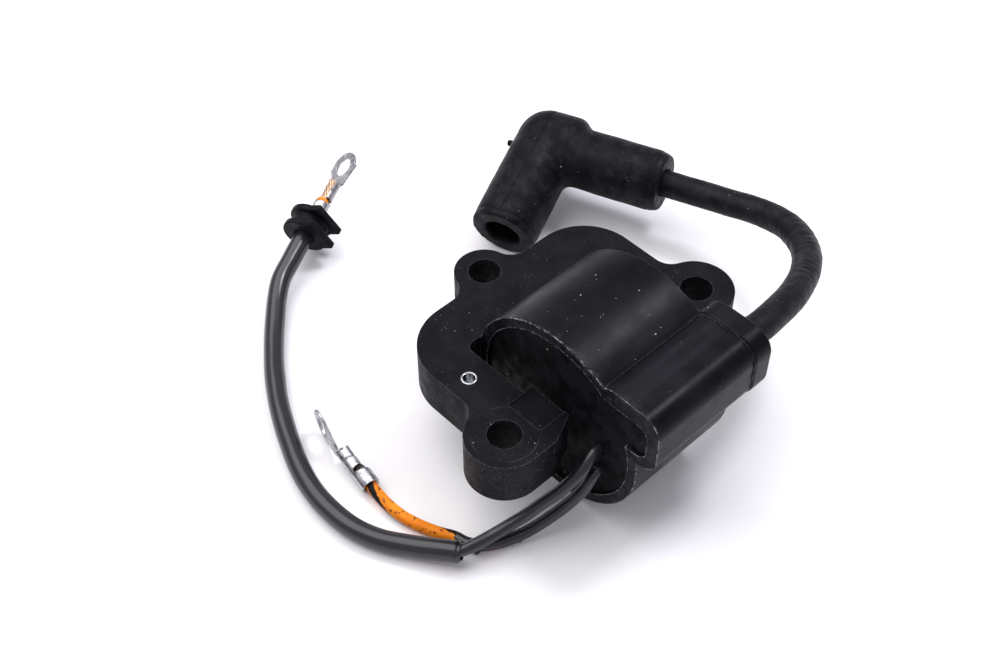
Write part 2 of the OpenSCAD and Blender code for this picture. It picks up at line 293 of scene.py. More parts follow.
@dataclass(frozen=True)
class Finish:
    """A moulded or coated surface: mottled colour, grain, scattered dust and lighter edges, partly worn and
    partly painted highlight.
    """

    name: str
    slot: str
    dark: Colour
    light: Colour
    rough: tuple[float, float] = (0.4, 0.6)
    mottle: float = 120
    grain: float = 2600
    grain_depth: float = 0.00002
    waves: float = 300
    wave_depth: float = 0.0
    dust: float = 0.0
    dust_scale: float = 900
    dust_colour: Colour = (0.42, 0.42, 0.41)
    edge_wear_and_highlight: float = 0.0
    edge_wear_and_highlight_width: float = 0.0004
    edge_wear_and_highlight_colour: Colour = (0.14, 0.14, 0.145)
    metallic: float = 0.0
    specular: float = 0.09

    def material(self) -> bpy.types.Material:
        """The finish's material.

        Returns:
            The material in the file that has the finish's name, or else a new one. A name that the CAD
            frame's own materials use, such as "brass", gives the frame's plain material.
        """
        made = bpy.data.materials.get(self.name)
        if made is not None:
            return made
        graph = Graph(self.name)
        self.paint(graph)
        return graph.material

    def colour(self, graph: Graph) -> Socket:
        """Base colour before dust and the lighter edges, which are partly worn and partly painted highlight.
        """
        share = graph.span(graph.noise(self.mottle, 5, 0.62), 0.36, 0.66)
        return graph.blend(share, self.dark, self.light)

    def marks(self, graph: Graph, colour: Socket) -> Socket:
        """Marks that only some finishes have, laid over the colour."""
        return colour

    def paint(self, graph: Graph) -> None:
        """Build the nodes.

        Args:
            graph: The material to fill.
        """
        colour = self.marks(graph, self.colour(graph))
        rough = graph.span(graph.noise(self.mottle * 1.7, 4), 0.35, 0.65, *self.rough)
        # Edges painted lighter: partly edge wear, partly painted highlight where the edges catch the light
        if self.edge_wear_and_highlight:
            broken = graph.span(graph.noise(1500, 3), 0.40, 0.60, 0.15, self.edge_wear_and_highlight)
            worn = graph.math("MULTIPLY", graph.edges(self.edge_wear_and_highlight_width), broken)
            colour = graph.blend(worn, colour, self.edge_wear_and_highlight_colour)
        if self.dust:
            patches = graph.span(graph.noise(70, 3), 0.42, 0.62, 0.15, 1)
            fine = graph.specks(self.dust_scale, 0.16, self.dust)
            coarse = graph.specks(self.dust_scale * 0.37, 0.10, self.dust * 0.6)
            dots = graph.math("MAXIMUM", graph.math("MULTIPLY", fine, patches), coarse)
            colour = graph.blend(graph.math("MULTIPLY", dots, 0.75), colour, self.dust_colour)
        normal = None
        if self.wave_depth:
            normal = graph.relief(graph.noise(self.waves, 2), self.wave_depth)
        normal = graph.relief(graph.noise(self.grain, 3, 0.6), self.grain_depth, normal)
        graph.shade(Base_Color=colour, Roughness=rough, Normal=normal, Metallic=self.metallic,
                    Specular_IOR_Level=self.specular)


@dataclass(frozen=True)
class FlangeFinish(Finish):
    """Satin moulding of the base, with a grainy painted reflection of the pale floor on its side walls and a
    tool mark round one ear.
    """

    ear: tuple[float, float] = (-31.7, -8.1)
    tool_mark_r: float = 7.6

    def marks(self, graph: Graph, colour: Socket) -> Socket:
        """Side walls painted lighter as a reflection of the pale floor, broken by grain, and faint arcs round
        the lower ear.

        Args:
            graph: The material that it is built in.
            colour: The colour so far.

        Returns:
            The colour with the marks.
        """
        plain = graph.add("ShaderNodeNewGeometry")
        split = graph.add("ShaderNodeSeparateXYZ")
        graph.join(plain.outputs["Normal"], split.inputs[0])
        # Side walls painted lighter: painted reflection of the pale floor, broken up by grain
        side = graph.span(graph.math("ABSOLUTE", split.outputs["Z"]), 0.55, 0.25)
        side_reflection_grain = graph.span(graph.noise(1900, 4, 0.7), 0.47, 0.66, 0, 0.55)
        colour = graph.blend(graph.math("MULTIPLY", side, side_reflection_grain), colour, (0.045, 0.044, 0.050))
        dx = graph.math("SUBTRACT", graph.axis("X"), self.ear[0] * MM)
        dy = graph.math("SUBTRACT", graph.axis("Y"), self.ear[1] * MM)
        squares = graph.math("ADD", graph.math("POWER", dx, 2.0), graph.math("POWER", dy, 2.0))
        off = graph.math("SUBTRACT", graph.math("SQRT", squares), self.tool_mark_r * MM)
        arc = graph.math("ABSOLUTE", off)
        broken = graph.span(graph.noise(160, 3), 0.45, 0.6, 0, 0.5)
        faint = graph.math("MULTIPLY", graph.span(arc, 0.00022, 0.0), broken)
        return graph.blend(faint, colour, (0.045, 0.045, 0.050))


@dataclass(frozen=True)
class BootFinish(Finish):
    """Matte rubber of the boot, with painted shade in the grooves of its parting line and of its two lips."""

    at: Point = (0, 0, 0)
    turn: Point = (0, 0, 0)
    mouth_line: float = -27.3
    end_line: float = 32.8

    def marks(self, graph: Graph, colour: Socket) -> Socket:
        """Painted shade in the grooves of the parting line and the two lips.

        Args:
            graph: The material that it is built in.
            colour: The colour so far.

        Returns:
            The colour with the lines.
        """
        own = graph.add("ShaderNodeMapping", vector_type="TEXTURE")
        own.inputs["Location"].default_value = self.at
        own.inputs["Rotation"].default_value = self.turn
        graph.join(graph.coords.outputs["Object"], own.inputs["Vector"])
        split = graph.add("ShaderNodeSeparateXYZ")
        graph.join(own.outputs["Vector"], split.inputs[0])
        x, y, z = (split.outputs[name] for name in "XYZ")
        below = graph.span(y, (self.mouth_line - 0.1) * MM, self.mouth_line * MM)
        before = graph.span(y, 0.0092, 0.0088)
        outside = graph.span(graph.math("ABSOLUTE", z), 0.0045, 0.0055)
        parting = graph.span(graph.math("ABSOLUTE", x), 0.00030, 0.00016)
        for limit in (outside, below, before):
            parting = graph.math("MULTIPLY", parting, limit)
        mouth = graph.math("ABSOLUTE", graph.math("SUBTRACT", y, self.mouth_line * MM))
        mouth = graph.span(mouth, 0.00028, 0.00012)
        end = graph.math("ABSOLUTE", graph.math("SUBTRACT", x, self.end_line * MM))
        end = graph.span(end, 0.00026, 0.00012)
        line = graph.math("MAXIMUM", parting, graph.math("MAXIMUM", mouth, end))
        bloom = graph.span(graph.noise(300, 5, 0.72), 0.52, 0.72, 0, 0.8)
        colour = graph.blend(bloom, colour, (0.019, 0.018, 0.023))
        # Painted shade: near-black lines in the parting-line groove, the lip groove and the ledge at the
        # lead's end
        return graph.blend(graph.math("MULTIPLY", line, 0.9), colour, (0.0008, 0.0008, 0.0010))


@dataclass(frozen=True)
class CaseFinish(Finish):
    """Semi-gloss moulding of the coil case, scuffed pale on the lip of its open end, with pale chipped spots
    and a painted highlight along the lip's edges.
    """

    lip_x: float = -16.0

    def marks(self, graph: Graph, colour: Socket) -> Socket:
        """Rubbed lip at the open end, with pale chipped spots and a painted highlight along its edges.

        Args:
            graph: The material that it is built in.
            colour: The colour so far.

        Returns:
            The colour with the marks.
        """
        off = graph.math("SUBTRACT", graph.axis("X"), self.lip_x * MM)
        near = graph.span(off, 0.0021, 0.0006)
        patch = graph.span(graph.noise(420, 5, 0.7), 0.46, 0.64, 0.0, 0.5)
        colour = graph.blend(graph.math("MULTIPLY", near, patch), colour, (0.035, 0.034, 0.040))
        # Lip edges painted pale: partly chipped, partly painted highlight where the edges catch the light
        edge = graph.math("MULTIPLY", graph.edges(0.0004), graph.span(off, 0.0014, 0.0006))
        chips_and_glint = graph.span(graph.noise(700, 4, 0.75), 0.47, 0.58)
        colour = graph.blend(graph.math("MULTIPLY", edge, chips_and_glint), colour, (0.55, 0.55, 0.54))
        streak = graph.noise(90, 4, 0.7, graph.place((0.12, 1.0, 1.0)))
        return graph.blend(graph.span(streak, 0.54, 0.74, 0, 0.5), colour, (0.020, 0.0195, 0.024))


@dataclass(frozen=True)
class OrangeFinish(Finish):
    """Orange insulation with a dark spiral tracer and grubby smudges."""

    turns: float = -35.0
    phase: float = 0.0
    tracer: float = 0.0

    def marks(self, graph: Graph, colour: Socket) -> Socket:
        """Spiral tracer and smudges.

        Args:
            graph: The material that it is built in.
            colour: The colour so far.

        Returns:
            The colour with the marks.
        """
        smudge = graph.span(graph.noise(620, 5, 0.75), 0.56, 0.62, 0, 0.9)
        colour = graph.blend(smudge, colour, (0.05, 0.018, 0.012))
        if not self.tracer:
            return colour
        turn, metres = graph.along()
        wound = graph.math("ADD", turn, graph.math("MULTIPLY", metres, self.turns))
        phase = graph.math("FRACT", graph.math("ADD", wound, self.phase))
        band = graph.math("ABSOLUTE", graph.math("SUBTRACT", phase, 0.5))
        ragged = graph.math("ADD", band, graph.math("MULTIPLY", graph.noise(1200, 2), 0.06))
        return graph.blend(graph.span(ragged, 0.14, 0.12), colour, (0.012, 0.011, 0.011))


@dataclass(frozen=True)
class MetalFinish(Finish):
    """Plated or bare metal with fine brushing and dull patches."""

    tarnish: Colour = (0.2, 0.2, 0.2)
    brush: Point = (1.0, 1.0, 1.0)

    def marks(self, graph: Graph, colour: Socket) -> Socket:
        """Dull tarnish in patches, and dark nicks.

        Args:
            graph: The material that it is built in.
            colour: The colour so far.

        Returns:
            The colour with the marks.
        """
        patch = graph.span(graph.noise(600, 5, 0.7), 0.52, 0.68, 0, 0.8)
        colour = graph.blend(patch, colour, self.tarnish)
        lines = graph.span(graph.noise(1400, 3, 0.6, graph.place(self.brush)), 0.56, 0.7, 0, 0.5)
        return graph.blend(lines, colour, self.tarnish)


@dataclass(frozen=True)
class WindingFinish(Finish):
    """Enamelled wire laid side by side round the coil axis."""

    pitch: float = 0.0003

    def paint(self, graph: Graph) -> None:
        """Fine ridges, one for each turn of wire, with painted shade in the grooves between turns.

        Args:
            graph: The material to fill.
        """
        wave = graph.math("MULTIPLY", graph.axis("X"), 2 * math.pi / self.pitch)
        ridge = graph.math("ABSOLUTE", graph.math("SINE", graph.math("MULTIPLY", wave, 0.5)))
        # Painted shade: darker copper in the grooves between turns of wire
        colour = graph.blend(graph.span(ridge, 0.0, 0.35), (0.05, 0.015, 0.006), self.colour(graph))
        rough = graph.span(graph.noise(self.mottle, 3), 0.35, 0.65, *self.rough)
        graph.shade(Base_Color=colour, Roughness=rough, Metallic=self.metallic,
                    Normal=graph.relief(ridge, self.pitch * 0.4))


BLACK: Colour = (0.0022, 0.0020, 0.0034)
SOOT: Colour = (0.0060, 0.0055, 0.0085)

FLANGE = FlangeFinish(
    "satin_base", "moulded_base", BLACK, SOOT, rough=(0.46, 0.62), mottle=150,
    grain=3200, grain_depth=0.00003, dust=0.55, dust_scale=1700, edge_wear_and_highlight=0.6, edge_wear_and_highlight_width=0.0003)
CASE = CaseFinish(
    "gloss_case", "case_plastic", BLACK, SOOT, rough=(0.33, 0.40), mottle=90,
    grain=2400, grain_depth=0.000012, waves=160, wave_depth=0.000012,
    dust=0.16, dust_scale=1100, edge_wear_and_highlight=0.5, edge_wear_and_highlight_width=0.0003)
POTTING = Finish(
    "potting", "potting_resin", (0.0016, 0.0016, 0.0022), (0.0075, 0.0072, 0.0095),
    rough=(0.4, 0.7), mottle=190, grain=1500, grain_depth=0.00004, waves=260, wave_depth=0.00015,
    dust=0.12, specular=0.06)
RUBBER = Finish(
    "matte_rubber", "black_rubber", (0.0024, 0.0022, 0.0036), (0.0080, 0.0075, 0.0108),
    rough=(0.40, 0.58), mottle=210, grain=2100, grain_depth=0.00004, waves=420, wave_depth=0.00008,
    dust=0.22, dust_scale=1300, edge_wear_and_highlight=0.35, edge_wear_and_highlight_colour=(0.045, 0.045, 0.05))
BOOT_RUBBER = BootFinish(
    "boot_rubber", "black_rubber", RUBBER.dark, RUBBER.light, rough=(0.40, 0.58), mottle=210, grain=2100,
    grain_depth=0.00004, waves=420, wave_depth=0.00006, dust=0.22, dust_scale=1300)
PLUG_JACKET = Finish(
    "plug_jacket", "lead_jacket", (0.0028, 0.0026, 0.0040), (0.0100, 0.0095, 0.0128),
    rough=(0.40, 0.56), mottle=240, grain=1700, grain_depth=0.00005,
    dust=0.16, dust_scale=1200, specular=0.13)
GLOSS_JACKET = Finish(
    "gloss_jacket", "gloss_jacket", (0.0020, 0.0019, 0.0034), (0.0060, 0.0056, 0.0090),
    rough=(0.16, 0.26), mottle=230, grain=1500, grain_depth=0.00001, waves=280, wave_depth=0.00004,
    dust=0.10, dust_scale=1500, specular=0.06)
ORANGE = OrangeFinish(
    "orange_wire", "orange_insulation", (0.78, 0.20, 0.012), (0.92, 0.30, 0.02), rough=(0.30, 0.45),
    mottle=260, grain=2000, grain_depth=0.00001)
ORANGE_TRACED = OrangeFinish(
    "orange_wire_traced", "orange_insulation", (0.78, 0.20, 0.012), (0.92, 0.30, 0.02), rough=(0.30, 0.45),
    mottle=260, grain=2000, grain_depth=0.00001, tracer=1.0)
TINNED = MetalFinish(
    "tinned_sheet", "tinned_terminal", (0.36, 0.36, 0.37), (0.60, 0.60, 0.62), rough=(0.28, 0.44), mottle=500,
    grain=1700, grain_depth=0.00002, metallic=1.0, tarnish=(0.09, 0.09, 0.095), brush=(1.0, 0.2, 1.0))
STEEL = MetalFinish(
    "bright_steel", "bright_steel", (0.42, 0.42, 0.43), (0.62, 0.62, 0.63), rough=(0.2, 0.4), mottle=500,
    grain=1600, grain_depth=0.00001, metallic=1.0, tarnish=(0.12, 0.11, 0.10))
STRANDS = MetalFinish(
    "copper_strands", "copper_strands", (0.16, 0.145, 0.13), (0.34, 0.31, 0.28), rough=(0.35, 0.6),
    mottle=900, grain=2200, grain_depth=0.00002, metallic=1.0, tarnish=(0.10, 0.07, 0.05))
SOOTY_STRANDS = MetalFinish(
    "sooty_strands", "copper_strands", (0.05, 0.04, 0.035), (0.16, 0.13, 0.11), rough=(0.45, 0.7), mottle=900,
    grain=2200, grain_depth=0.00002, metallic=0.6, tarnish=(0.02, 0.015, 0.012))
BRASS = MetalFinish(
    "brass", "brass", (0.52, 0.36, 0.12), (0.68, 0.49, 0.20), rough=(0.25, 0.42), mottle=300,
    grain=1500, grain_depth=0.00001, metallic=1.0, tarnish=(0.22, 0.13, 0.05))
WINDING = WindingFinish(
    "enamelled_winding", "enamelled_copper", (0.34, 0.10, 0.03), (0.55, 0.20, 0.06), rough=(0.2, 0.35),
    mottle=300, metallic=0.8)
LAMINATION = MetalFinish(
    "lamination", "silicon_steel", (0.16, 0.165, 0.175), (0.30, 0.30, 0.31), rough=(0.35, 0.55), mottle=400,
    grain=1500, grain_depth=0.00001, metallic=1.0, tarnish=(0.06, 0.06, 0.07), brush=(0.1, 1.0, 1.0))
NYLON = Finish(
    "bobbin_nylon", "bobbin_nylon", (0.56, 0.50, 0.36), (0.68, 0.62, 0.47), rough=(0.4, 0.55), mottle=120,
    grain=1800, grain_depth=0.00001)
PAPER = Finish(
    "oiled_paper", "insulating_paper", (0.40, 0.28, 0.11), (0.56, 0.42, 0.18), rough=(0.55, 0.75), mottle=500,
    grain=2600, grain_depth=0.00003)
FLOOR = Finish(
    "pale_floor", "", (0.90, 0.89, 0.90), (0.93, 0.925, 0.93), rough=(0.55, 0.7), mottle=8, grain=400,
    grain_depth=0.00001)


# ---------------------------------------------------------------- shapes


def aimed(at: Point, heading: float, rise: float, roll: float = 0.0) -> Matrix:
    """Matrix that puts a piece drawn along X at a point, in metres.

    Args:
        at: Where its origin goes, in millimetres.
        heading: Direction of its X in plan, in degrees.
        rise: Slope of its X, in degrees.
        roll: Turn about its X, in degrees.

    Returns:
        The placing matrix, for shapes in metres.
    """
    return (
        Matrix.Translation(Vector(at) * MM)
        @ Matrix.Rotation(math.radians(heading), 4, "Z")
        @ Matrix.Rotation(math.radians(-rise), 4, "Y")
        @ Matrix.Rotation(math.radians(roll), 4, "X")
    )


def direction(heading: float, rise: float) -> np.ndarray:
    """Unit vector along a heading and rise in degrees."""
    return np.array(aimed((0, 0, 0), heading, rise).col[0][:3])


def smooth_line(points: Sequence[Sequence[float]], step: float) -> np.ndarray:
    """Smooth curve through given points, evenly stepped.

    Args:
        points: Points that it passes.
        step: Distance between the points of the result.

    Returns:
        Array of points.
    """
    p = np.asarray(points, float)
    t = np.concatenate([[0], np.cumsum(np.linalg.norm(np.diff(p, axis=0), axis=1))])
    slope = np.gradient(p, t, axis=0)
    fine = np.linspace(0, t[-1], int(t[-1] / step) * 8 + 2)
    i = np.clip(np.searchsorted(t, fine, side="right") - 1, 0, len(t) - 2)
    h = (t[i + 1] - t[i])[:, None]
    u = ((fine - t[i]) / h[:, 0])[:, None]
    line = (
        (2 * u**3 - 3 * u**2 + 1) * p[i]
        + (u**3 - 2 * u**2 + u) * h * slope[i]
        + (3 * u**2 - 2 * u**3) * p[i + 1]
        + (u**3 - u**2) * h * slope[i + 1]
    )
    run = np.concatenate([[0], np.cumsum(np.linalg.norm(np.diff(line, axis=0), axis=1))])
    even = np.linspace(0, run[-1], max(2, round(run[-1] / step)) + 1)
    return np.stack([np.interp(even, run, line[:, k]) for k in range(3)], axis=1)


def carried_frames(line: np.ndarray, guide: Point = (0, 0, 1)) -> tuple[np.ndarray, np.ndarray]:
    """Side and up vectors carried along a line without twist.

    Args:
        line: Points of the line.
        guide: Rough up direction at its start.

    Returns:
        Arrays of side vectors and of up vectors.
    """
    tangents = np.gradient(line, axis=0)
    tangents /= np.linalg.norm(tangents, axis=1)[:, None]
    side = np.cross(guide, tangents[0])
    sides = []
    for tangent in tangents:
        side = side - tangent * (side @ tangent)
        side /= np.linalg.norm(side)
        sides.append(side)
    sides = np.array(sides)
    return sides, np.cross(tangents, sides)


def linked(name: str, data: bpy.types.ID) -> bpy.types.Object:
    """New object in the scene.

    Args:
        name: Its name.
        data: Its mesh, light or camera.

    Returns:
        The object.
    """
    obj = bpy.data.objects.new(name, data)
    bpy.context.scene.collection.objects.link(obj)
    return obj


def round_tube(run: np.ndarray, turn: np.ndarray, spread: float, pace: float) -> np.ndarray:
    """Where noise is read for places on the skin of a tube.

    Args:
        run: Millimetres along the tube.
        turn: Angle round it.
        spread: How much the noise changes round the tube.
        pace: How much it changes for each millimetre along it.

    Returns:
        One point for each place.
    """
    return np.stack([np.cos(turn) * spread, np.sin(turn) * spread, run * pace], axis=-1)


def jitter(points: np.ndarray, scale: float) -> np.ndarray:
    """Smooth pseudo-random value at each point, -1 to 1; the same each time.

    Args:
        points: Points in metres.
        scale: Features per metre.

    Returns:
        One value for each point.
    """
    values = [noise.noise(Vector(p) * scale) for p in points.reshape(-1, 3)]
    return np.array(values).reshape(points.shape[:-1])


def mesh_object(name: str, points: np.ndarray, faces: Sequence[Sequence[int]]) -> bpy.types.Object:
    """Mesh object with smooth shading.

    Args:
        name: Name of the piece.
        points: Vertices in metres.
        faces: Lists of vertex numbers.

    Returns:
        The linked object.
    """
    mesh = bpy.data.meshes.new(name)
    mesh.from_pydata([tuple(p) for p in points], [], [tuple(f) for f in faces])
    mesh.validate()
    mesh.polygons.foreach_set("use_smooth", [True] * len(mesh.polygons))
    return linked(name, mesh)


def loft(
    name: str, rings: np.ndarray, caps: bool = True, keep: Callable[[int, int], bool] | None = None
) -> bpy.types.Object:
    """Skin over closed rings, with the turn and the metres along as its UV map.

    Args:
        name: Name of the piece.
        rings: Array of rings by points by three.
        caps: Whether both ends are closed.
        keep: Tells which quads stay, by ring and point number.

    Returns:
        The object.
    """
    count, sides = rings.shape[:2]
    points = rings.reshape(-1, 3)
    faces = []
    corners = []
    middle = rings.mean(axis=1)
    metres = np.concatenate([[0], np.cumsum(np.linalg.norm(np.diff(middle, axis=0), axis=1))])
    for i in range(count - 1):
        for k in range(sides):
            if keep is not None and not keep(i, k):
                continue
            n = (k + 1) % sides
            faces.append((i * sides + k, i * sides + n, (i + 1) * sides + n, (i + 1) * sides + k))
            corners += [(k / sides, metres[i]), ((k + 1) / sides, metres[i])]
            corners += [((k + 1) / sides, metres[i + 1]), (k / sides, metres[i + 1])]
    if caps:
        points = np.vstack([points, middle[0], middle[-1]])
        for k in range(sides):
            n = (k + 1) % sides
            last = (count - 1) * sides
            faces.append((n, k, count * sides))
            faces.append((last + k, last + n, count * sides + 1))
            corners += [(k / sides, 0.0)] * 3 + [(k / sides, metres[-1])] * 3
    obj = mesh_object(name, points, faces)
    layer = obj.data.uv_layers.new(name="round_and_along")
    layer.data.foreach_set("uv", np.array(corners, np.float32).ravel())
    return obj


@dataclass
class Tube:
    """Round tube along a smooth route, in millimetres, with optional wrinkles and an open mouth."""

    name: str
    route: Sequence[Sequence[float]]
    diameter: float
    step: float = 0.6
    sides: int = 32
    wrinkle: Callable[[np.ndarray, np.ndarray], np.ndarray] | None = None
    mouth: float = 0.0
    mouth_depth: float = 6.0

    def __post_init__(self) -> None:
        """Lay the centreline and its frames."""
        self.line = smooth_line(self.route, self.step)
        self.sides_at, self.ups_at = carried_frames(self.line)
        self.run = np.linspace(0, self.length, len(self.line))

    @property
    def length(self) -> float:
        """Length of the centreline in millimetres."""
        return float(np.linalg.norm(np.diff(self.line, axis=0), axis=1).sum())

    def path(self) -> list[list[float]]:
        """Centreline in metres."""
        return (self.line * MM).tolist()

    def ring(self, i: int, radius: float | np.ndarray) -> np.ndarray:
        """Ring of points round one place of the line.

        Args:
            i: Number of the place.
            radius: One radius, or one for each point.

        Returns:
            The ring's points in millimetres.
        """
        turn = np.linspace(0, 2 * math.pi, self.sides, endpoint=False)
        spokes = np.cos(turn)[:, None] * self.sides_at[i] + np.sin(turn)[:, None] * self.ups_at[i]
        return self.line[i] + spokes * np.reshape(radius, (-1, 1))

    def rings(self) -> np.ndarray:
        """Skin of the tube, with softened rims.

        Returns:
            Array of rings by points by three, in millimetres.
        """
        turn = np.linspace(0, 2 * math.pi, self.sides, endpoint=False)
        out = []
        for i, s in enumerate(self.run):
            radius = np.full(self.sides, self.diameter / 2)
            if self.wrinkle is not None:
                radius = radius + self.wrinkle(np.full(self.sides, s), turn)
            rim = min(s, self.length - s)
            soften = 0.16 * self.diameter * max(0.0, 1 - rim / (0.12 * self.diameter)) ** 2
            out.append(self.ring(i, radius - soften))
        return np.array(out)

    def build(self) -> bpy.types.Object:
        """The tube as a mesh.

        Returns:
            The object, in metres.
        """
        rings = self.rings()
        if self.mouth:
            deep = int(self.mouth_depth / self.step)
            inner = [self.ring(i, self.mouth / 2) for i in range(deep, -1, -1)]
            rings = np.concatenate([np.array(inner), rings])
        return loft(self.name, rings * MM)


def copied_node(node: str, name: str) -> bpy.types.Object:
    """A clean, welded copy of a CAD node's mesh with flat faces merged.

    Args:
        node: Name of the CAD node.
        name: Name of the new piece.

    Returns:
        The copy.
    """
    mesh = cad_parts[node].data.copy()
    mesh.name = name
    mesh.materials.clear()
    work = bmesh.new()
    work.from_mesh(mesh)
    bmesh.ops.remove_doubles(work, verts=work.verts, dist=2e-6)
    bmesh.ops.dissolve_limit(work, angle_limit=math.radians(0.6), verts=work.verts, edges=work.edges)
    work.to_mesh(mesh)
    work.free()
    mesh.polygons.foreach_set("use_smooth", [True] * len(mesh.polygons))
    for attribute in [a for a in mesh.attributes if a.name in ("custom_normal", "sharp_edge", "sharp_face")]:
        mesh.attributes.remove(attribute)
    return linked(name, mesh)


def round_edges(obj: bpy.types.Object, width: float, angle: float = 32.0, segments: int = 3) -> None:
    """Round the edges of a hard piece.

    Args:
        obj: The piece.
        width: Width of the rounding in millimetres.
        angle: Edges sharper than this are rounded, in degrees.
        segments: Faces across each rounding.
    """
    bevel = obj.modifiers.new("rounding", "BEVEL")
    bevel.width = width * MM
    bevel.segments = segments
    bevel.limit_method = "ANGLE"
    bevel.angle_limit = math.radians(angle)
    bevel.use_clamp_overlap = True
    bevel.miter_outer = "MITER_ARC"
    even = obj.modifiers.new("even_shading", "WEIGHTED_NORMAL")
    even.weight = 80
    even.keep_sharp = False


def thicken(obj: bpy.types.Object, thickness: float, offset: float = -1.0) -> None:
    """Give a sheet its thickness.

    Args:
        obj: The sheet.
        thickness: Thickness in millimetres.
        offset: -1 to grow inwards and 0 to grow both ways.
    """
    solid = obj.modifiers.new("wall", "SOLIDIFY")
    solid.thickness = thickness * MM
    solid.offset = offset


def bake_modifiers(obj: bpy.types.Object) -> None:
    """Apply the modifiers of a piece to its mesh.

    Args:
        obj: The piece.
    """
    bpy.context.view_layer.update()
    seen = obj.evaluated_get(bpy.context.evaluated_depsgraph_get())
    mesh = bpy.data.meshes.new_from_object(seen)
    obj.modifiers.clear()
    old = obj.data
    obj.data = mesh
    bpy.data.meshes.remove(old)
    mesh.name = obj.name


def fit_out(
    obj: bpy.types.Object, finish: Finish, body: Body = Body.ROOT, replaces: Sequence[str] = ()
) -> bpy.types.Object:
    """Give a piece its finish and its body, and hide the CAD nodes that it stands for.

    Args:
        obj: The piece.
        finish: Its finish.
        body: The body that it rides on.
        replaces: CAD nodes that it stands for.

    Returns:
        The same object.
    """
    obj.data.materials.clear()
    obj.data.materials.append(finish.material())
    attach(obj, body.value)
    if replaces:
        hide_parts(*replaces)
    log.info("piece %s on %s, finish %s", obj.name, body.value, finish.name)
    return obj


# ---------------------------------------------------------------- studio


@dataclass
class Studio:
    """Pale floor, soft light and the camera."""

    camera_at: Point = (-164.69, -146.31, 280.97)
    look_at: Point = (-11.69, 14.33, 30.5)
    lens: float = 51.83
    floor_size: float = 2.4
    sky_strength: float = 0.62
    lamps: tuple[tuple[str, Point, float, float, Colour], ...] = (
        ("overhead", (-0.14, 0.32, 0.75), 0.85, 6.4, (1.0, 0.985, 0.97)),
        ("softbox", (0.42, -0.05, 0.82), 0.22, 4.0, (0.90, 0.90, 1.0)))

    def camera(self) -> None:
        """Stand the camera and make it the scene's."""
        data = bpy.data.cameras.new("camera")
        data.lens = self.lens
        data.sensor_width = 36
        data.clip_start = 0.01
        data.clip_end = 20
        obj = linked("camera", data)
        aim = Vector(self.look_at) - Vector(self.camera_at)
        obj.location = Vector(self.camera_at) * MM
        obj.rotation_euler = aim.to_track_quat("-Z", "Y").to_euler()
        bpy.context.scene.camera = obj

    def lamp(self, name: str, at: Point, size: float, power: float, colour: Colour) -> None:
        """Hang a square soft light that faces the coil.

        Args:
            name: Name of the light.
            at: Where it hangs, in metres.
            size: Side of its panel in metres.
            power: Watts.
            colour: Tint.
        """
        data = bpy.data.lights.new(name, "AREA")
        data.size = size
        data.energy = power
        data.color = colour
        obj = linked(name, data)
        obj.location = at
        obj.rotation_euler = (Vector((0, 0, 0.03)) - Vector(at)).to_track_quat("-Z", "Y").to_euler()

    def floor(self) -> None:
        """Lay the floor."""
        half = self.floor_size / 2
        corners = np.array([(-half, -half, 0), (half, -half, 0), (half, half, 0), (-half, half, 0)])
        obj = mesh_object("floor", corners - (0, 0, 0.0001), [(0, 1, 2, 3)])
        obj.data.materials.append(FLOOR.material())

    def world(self) -> None:
        """White surroundings."""
        world = bpy.data.worlds.new("surround")
        bpy.context.scene.world = world
        world.use_nodes = True
        sky = world.node_tree.nodes["Background"]
        sky.inputs["Color"].default_value = (0.93, 0.92, 1.0, 1)
        sky.inputs["Strength"].default_value = self.sky_strength

    def build(self) -> None:
        """Put up everything but the camera."""
        self.floor()
        self.world()
        for lamp in self.lamps:
            self.lamp(*lamp)
        scene = bpy.context.scene
        scene.view_settings.view_transform = "Standard"
        scene.view_settings.look = "None"


# ---------------------------------------------------------------- leads


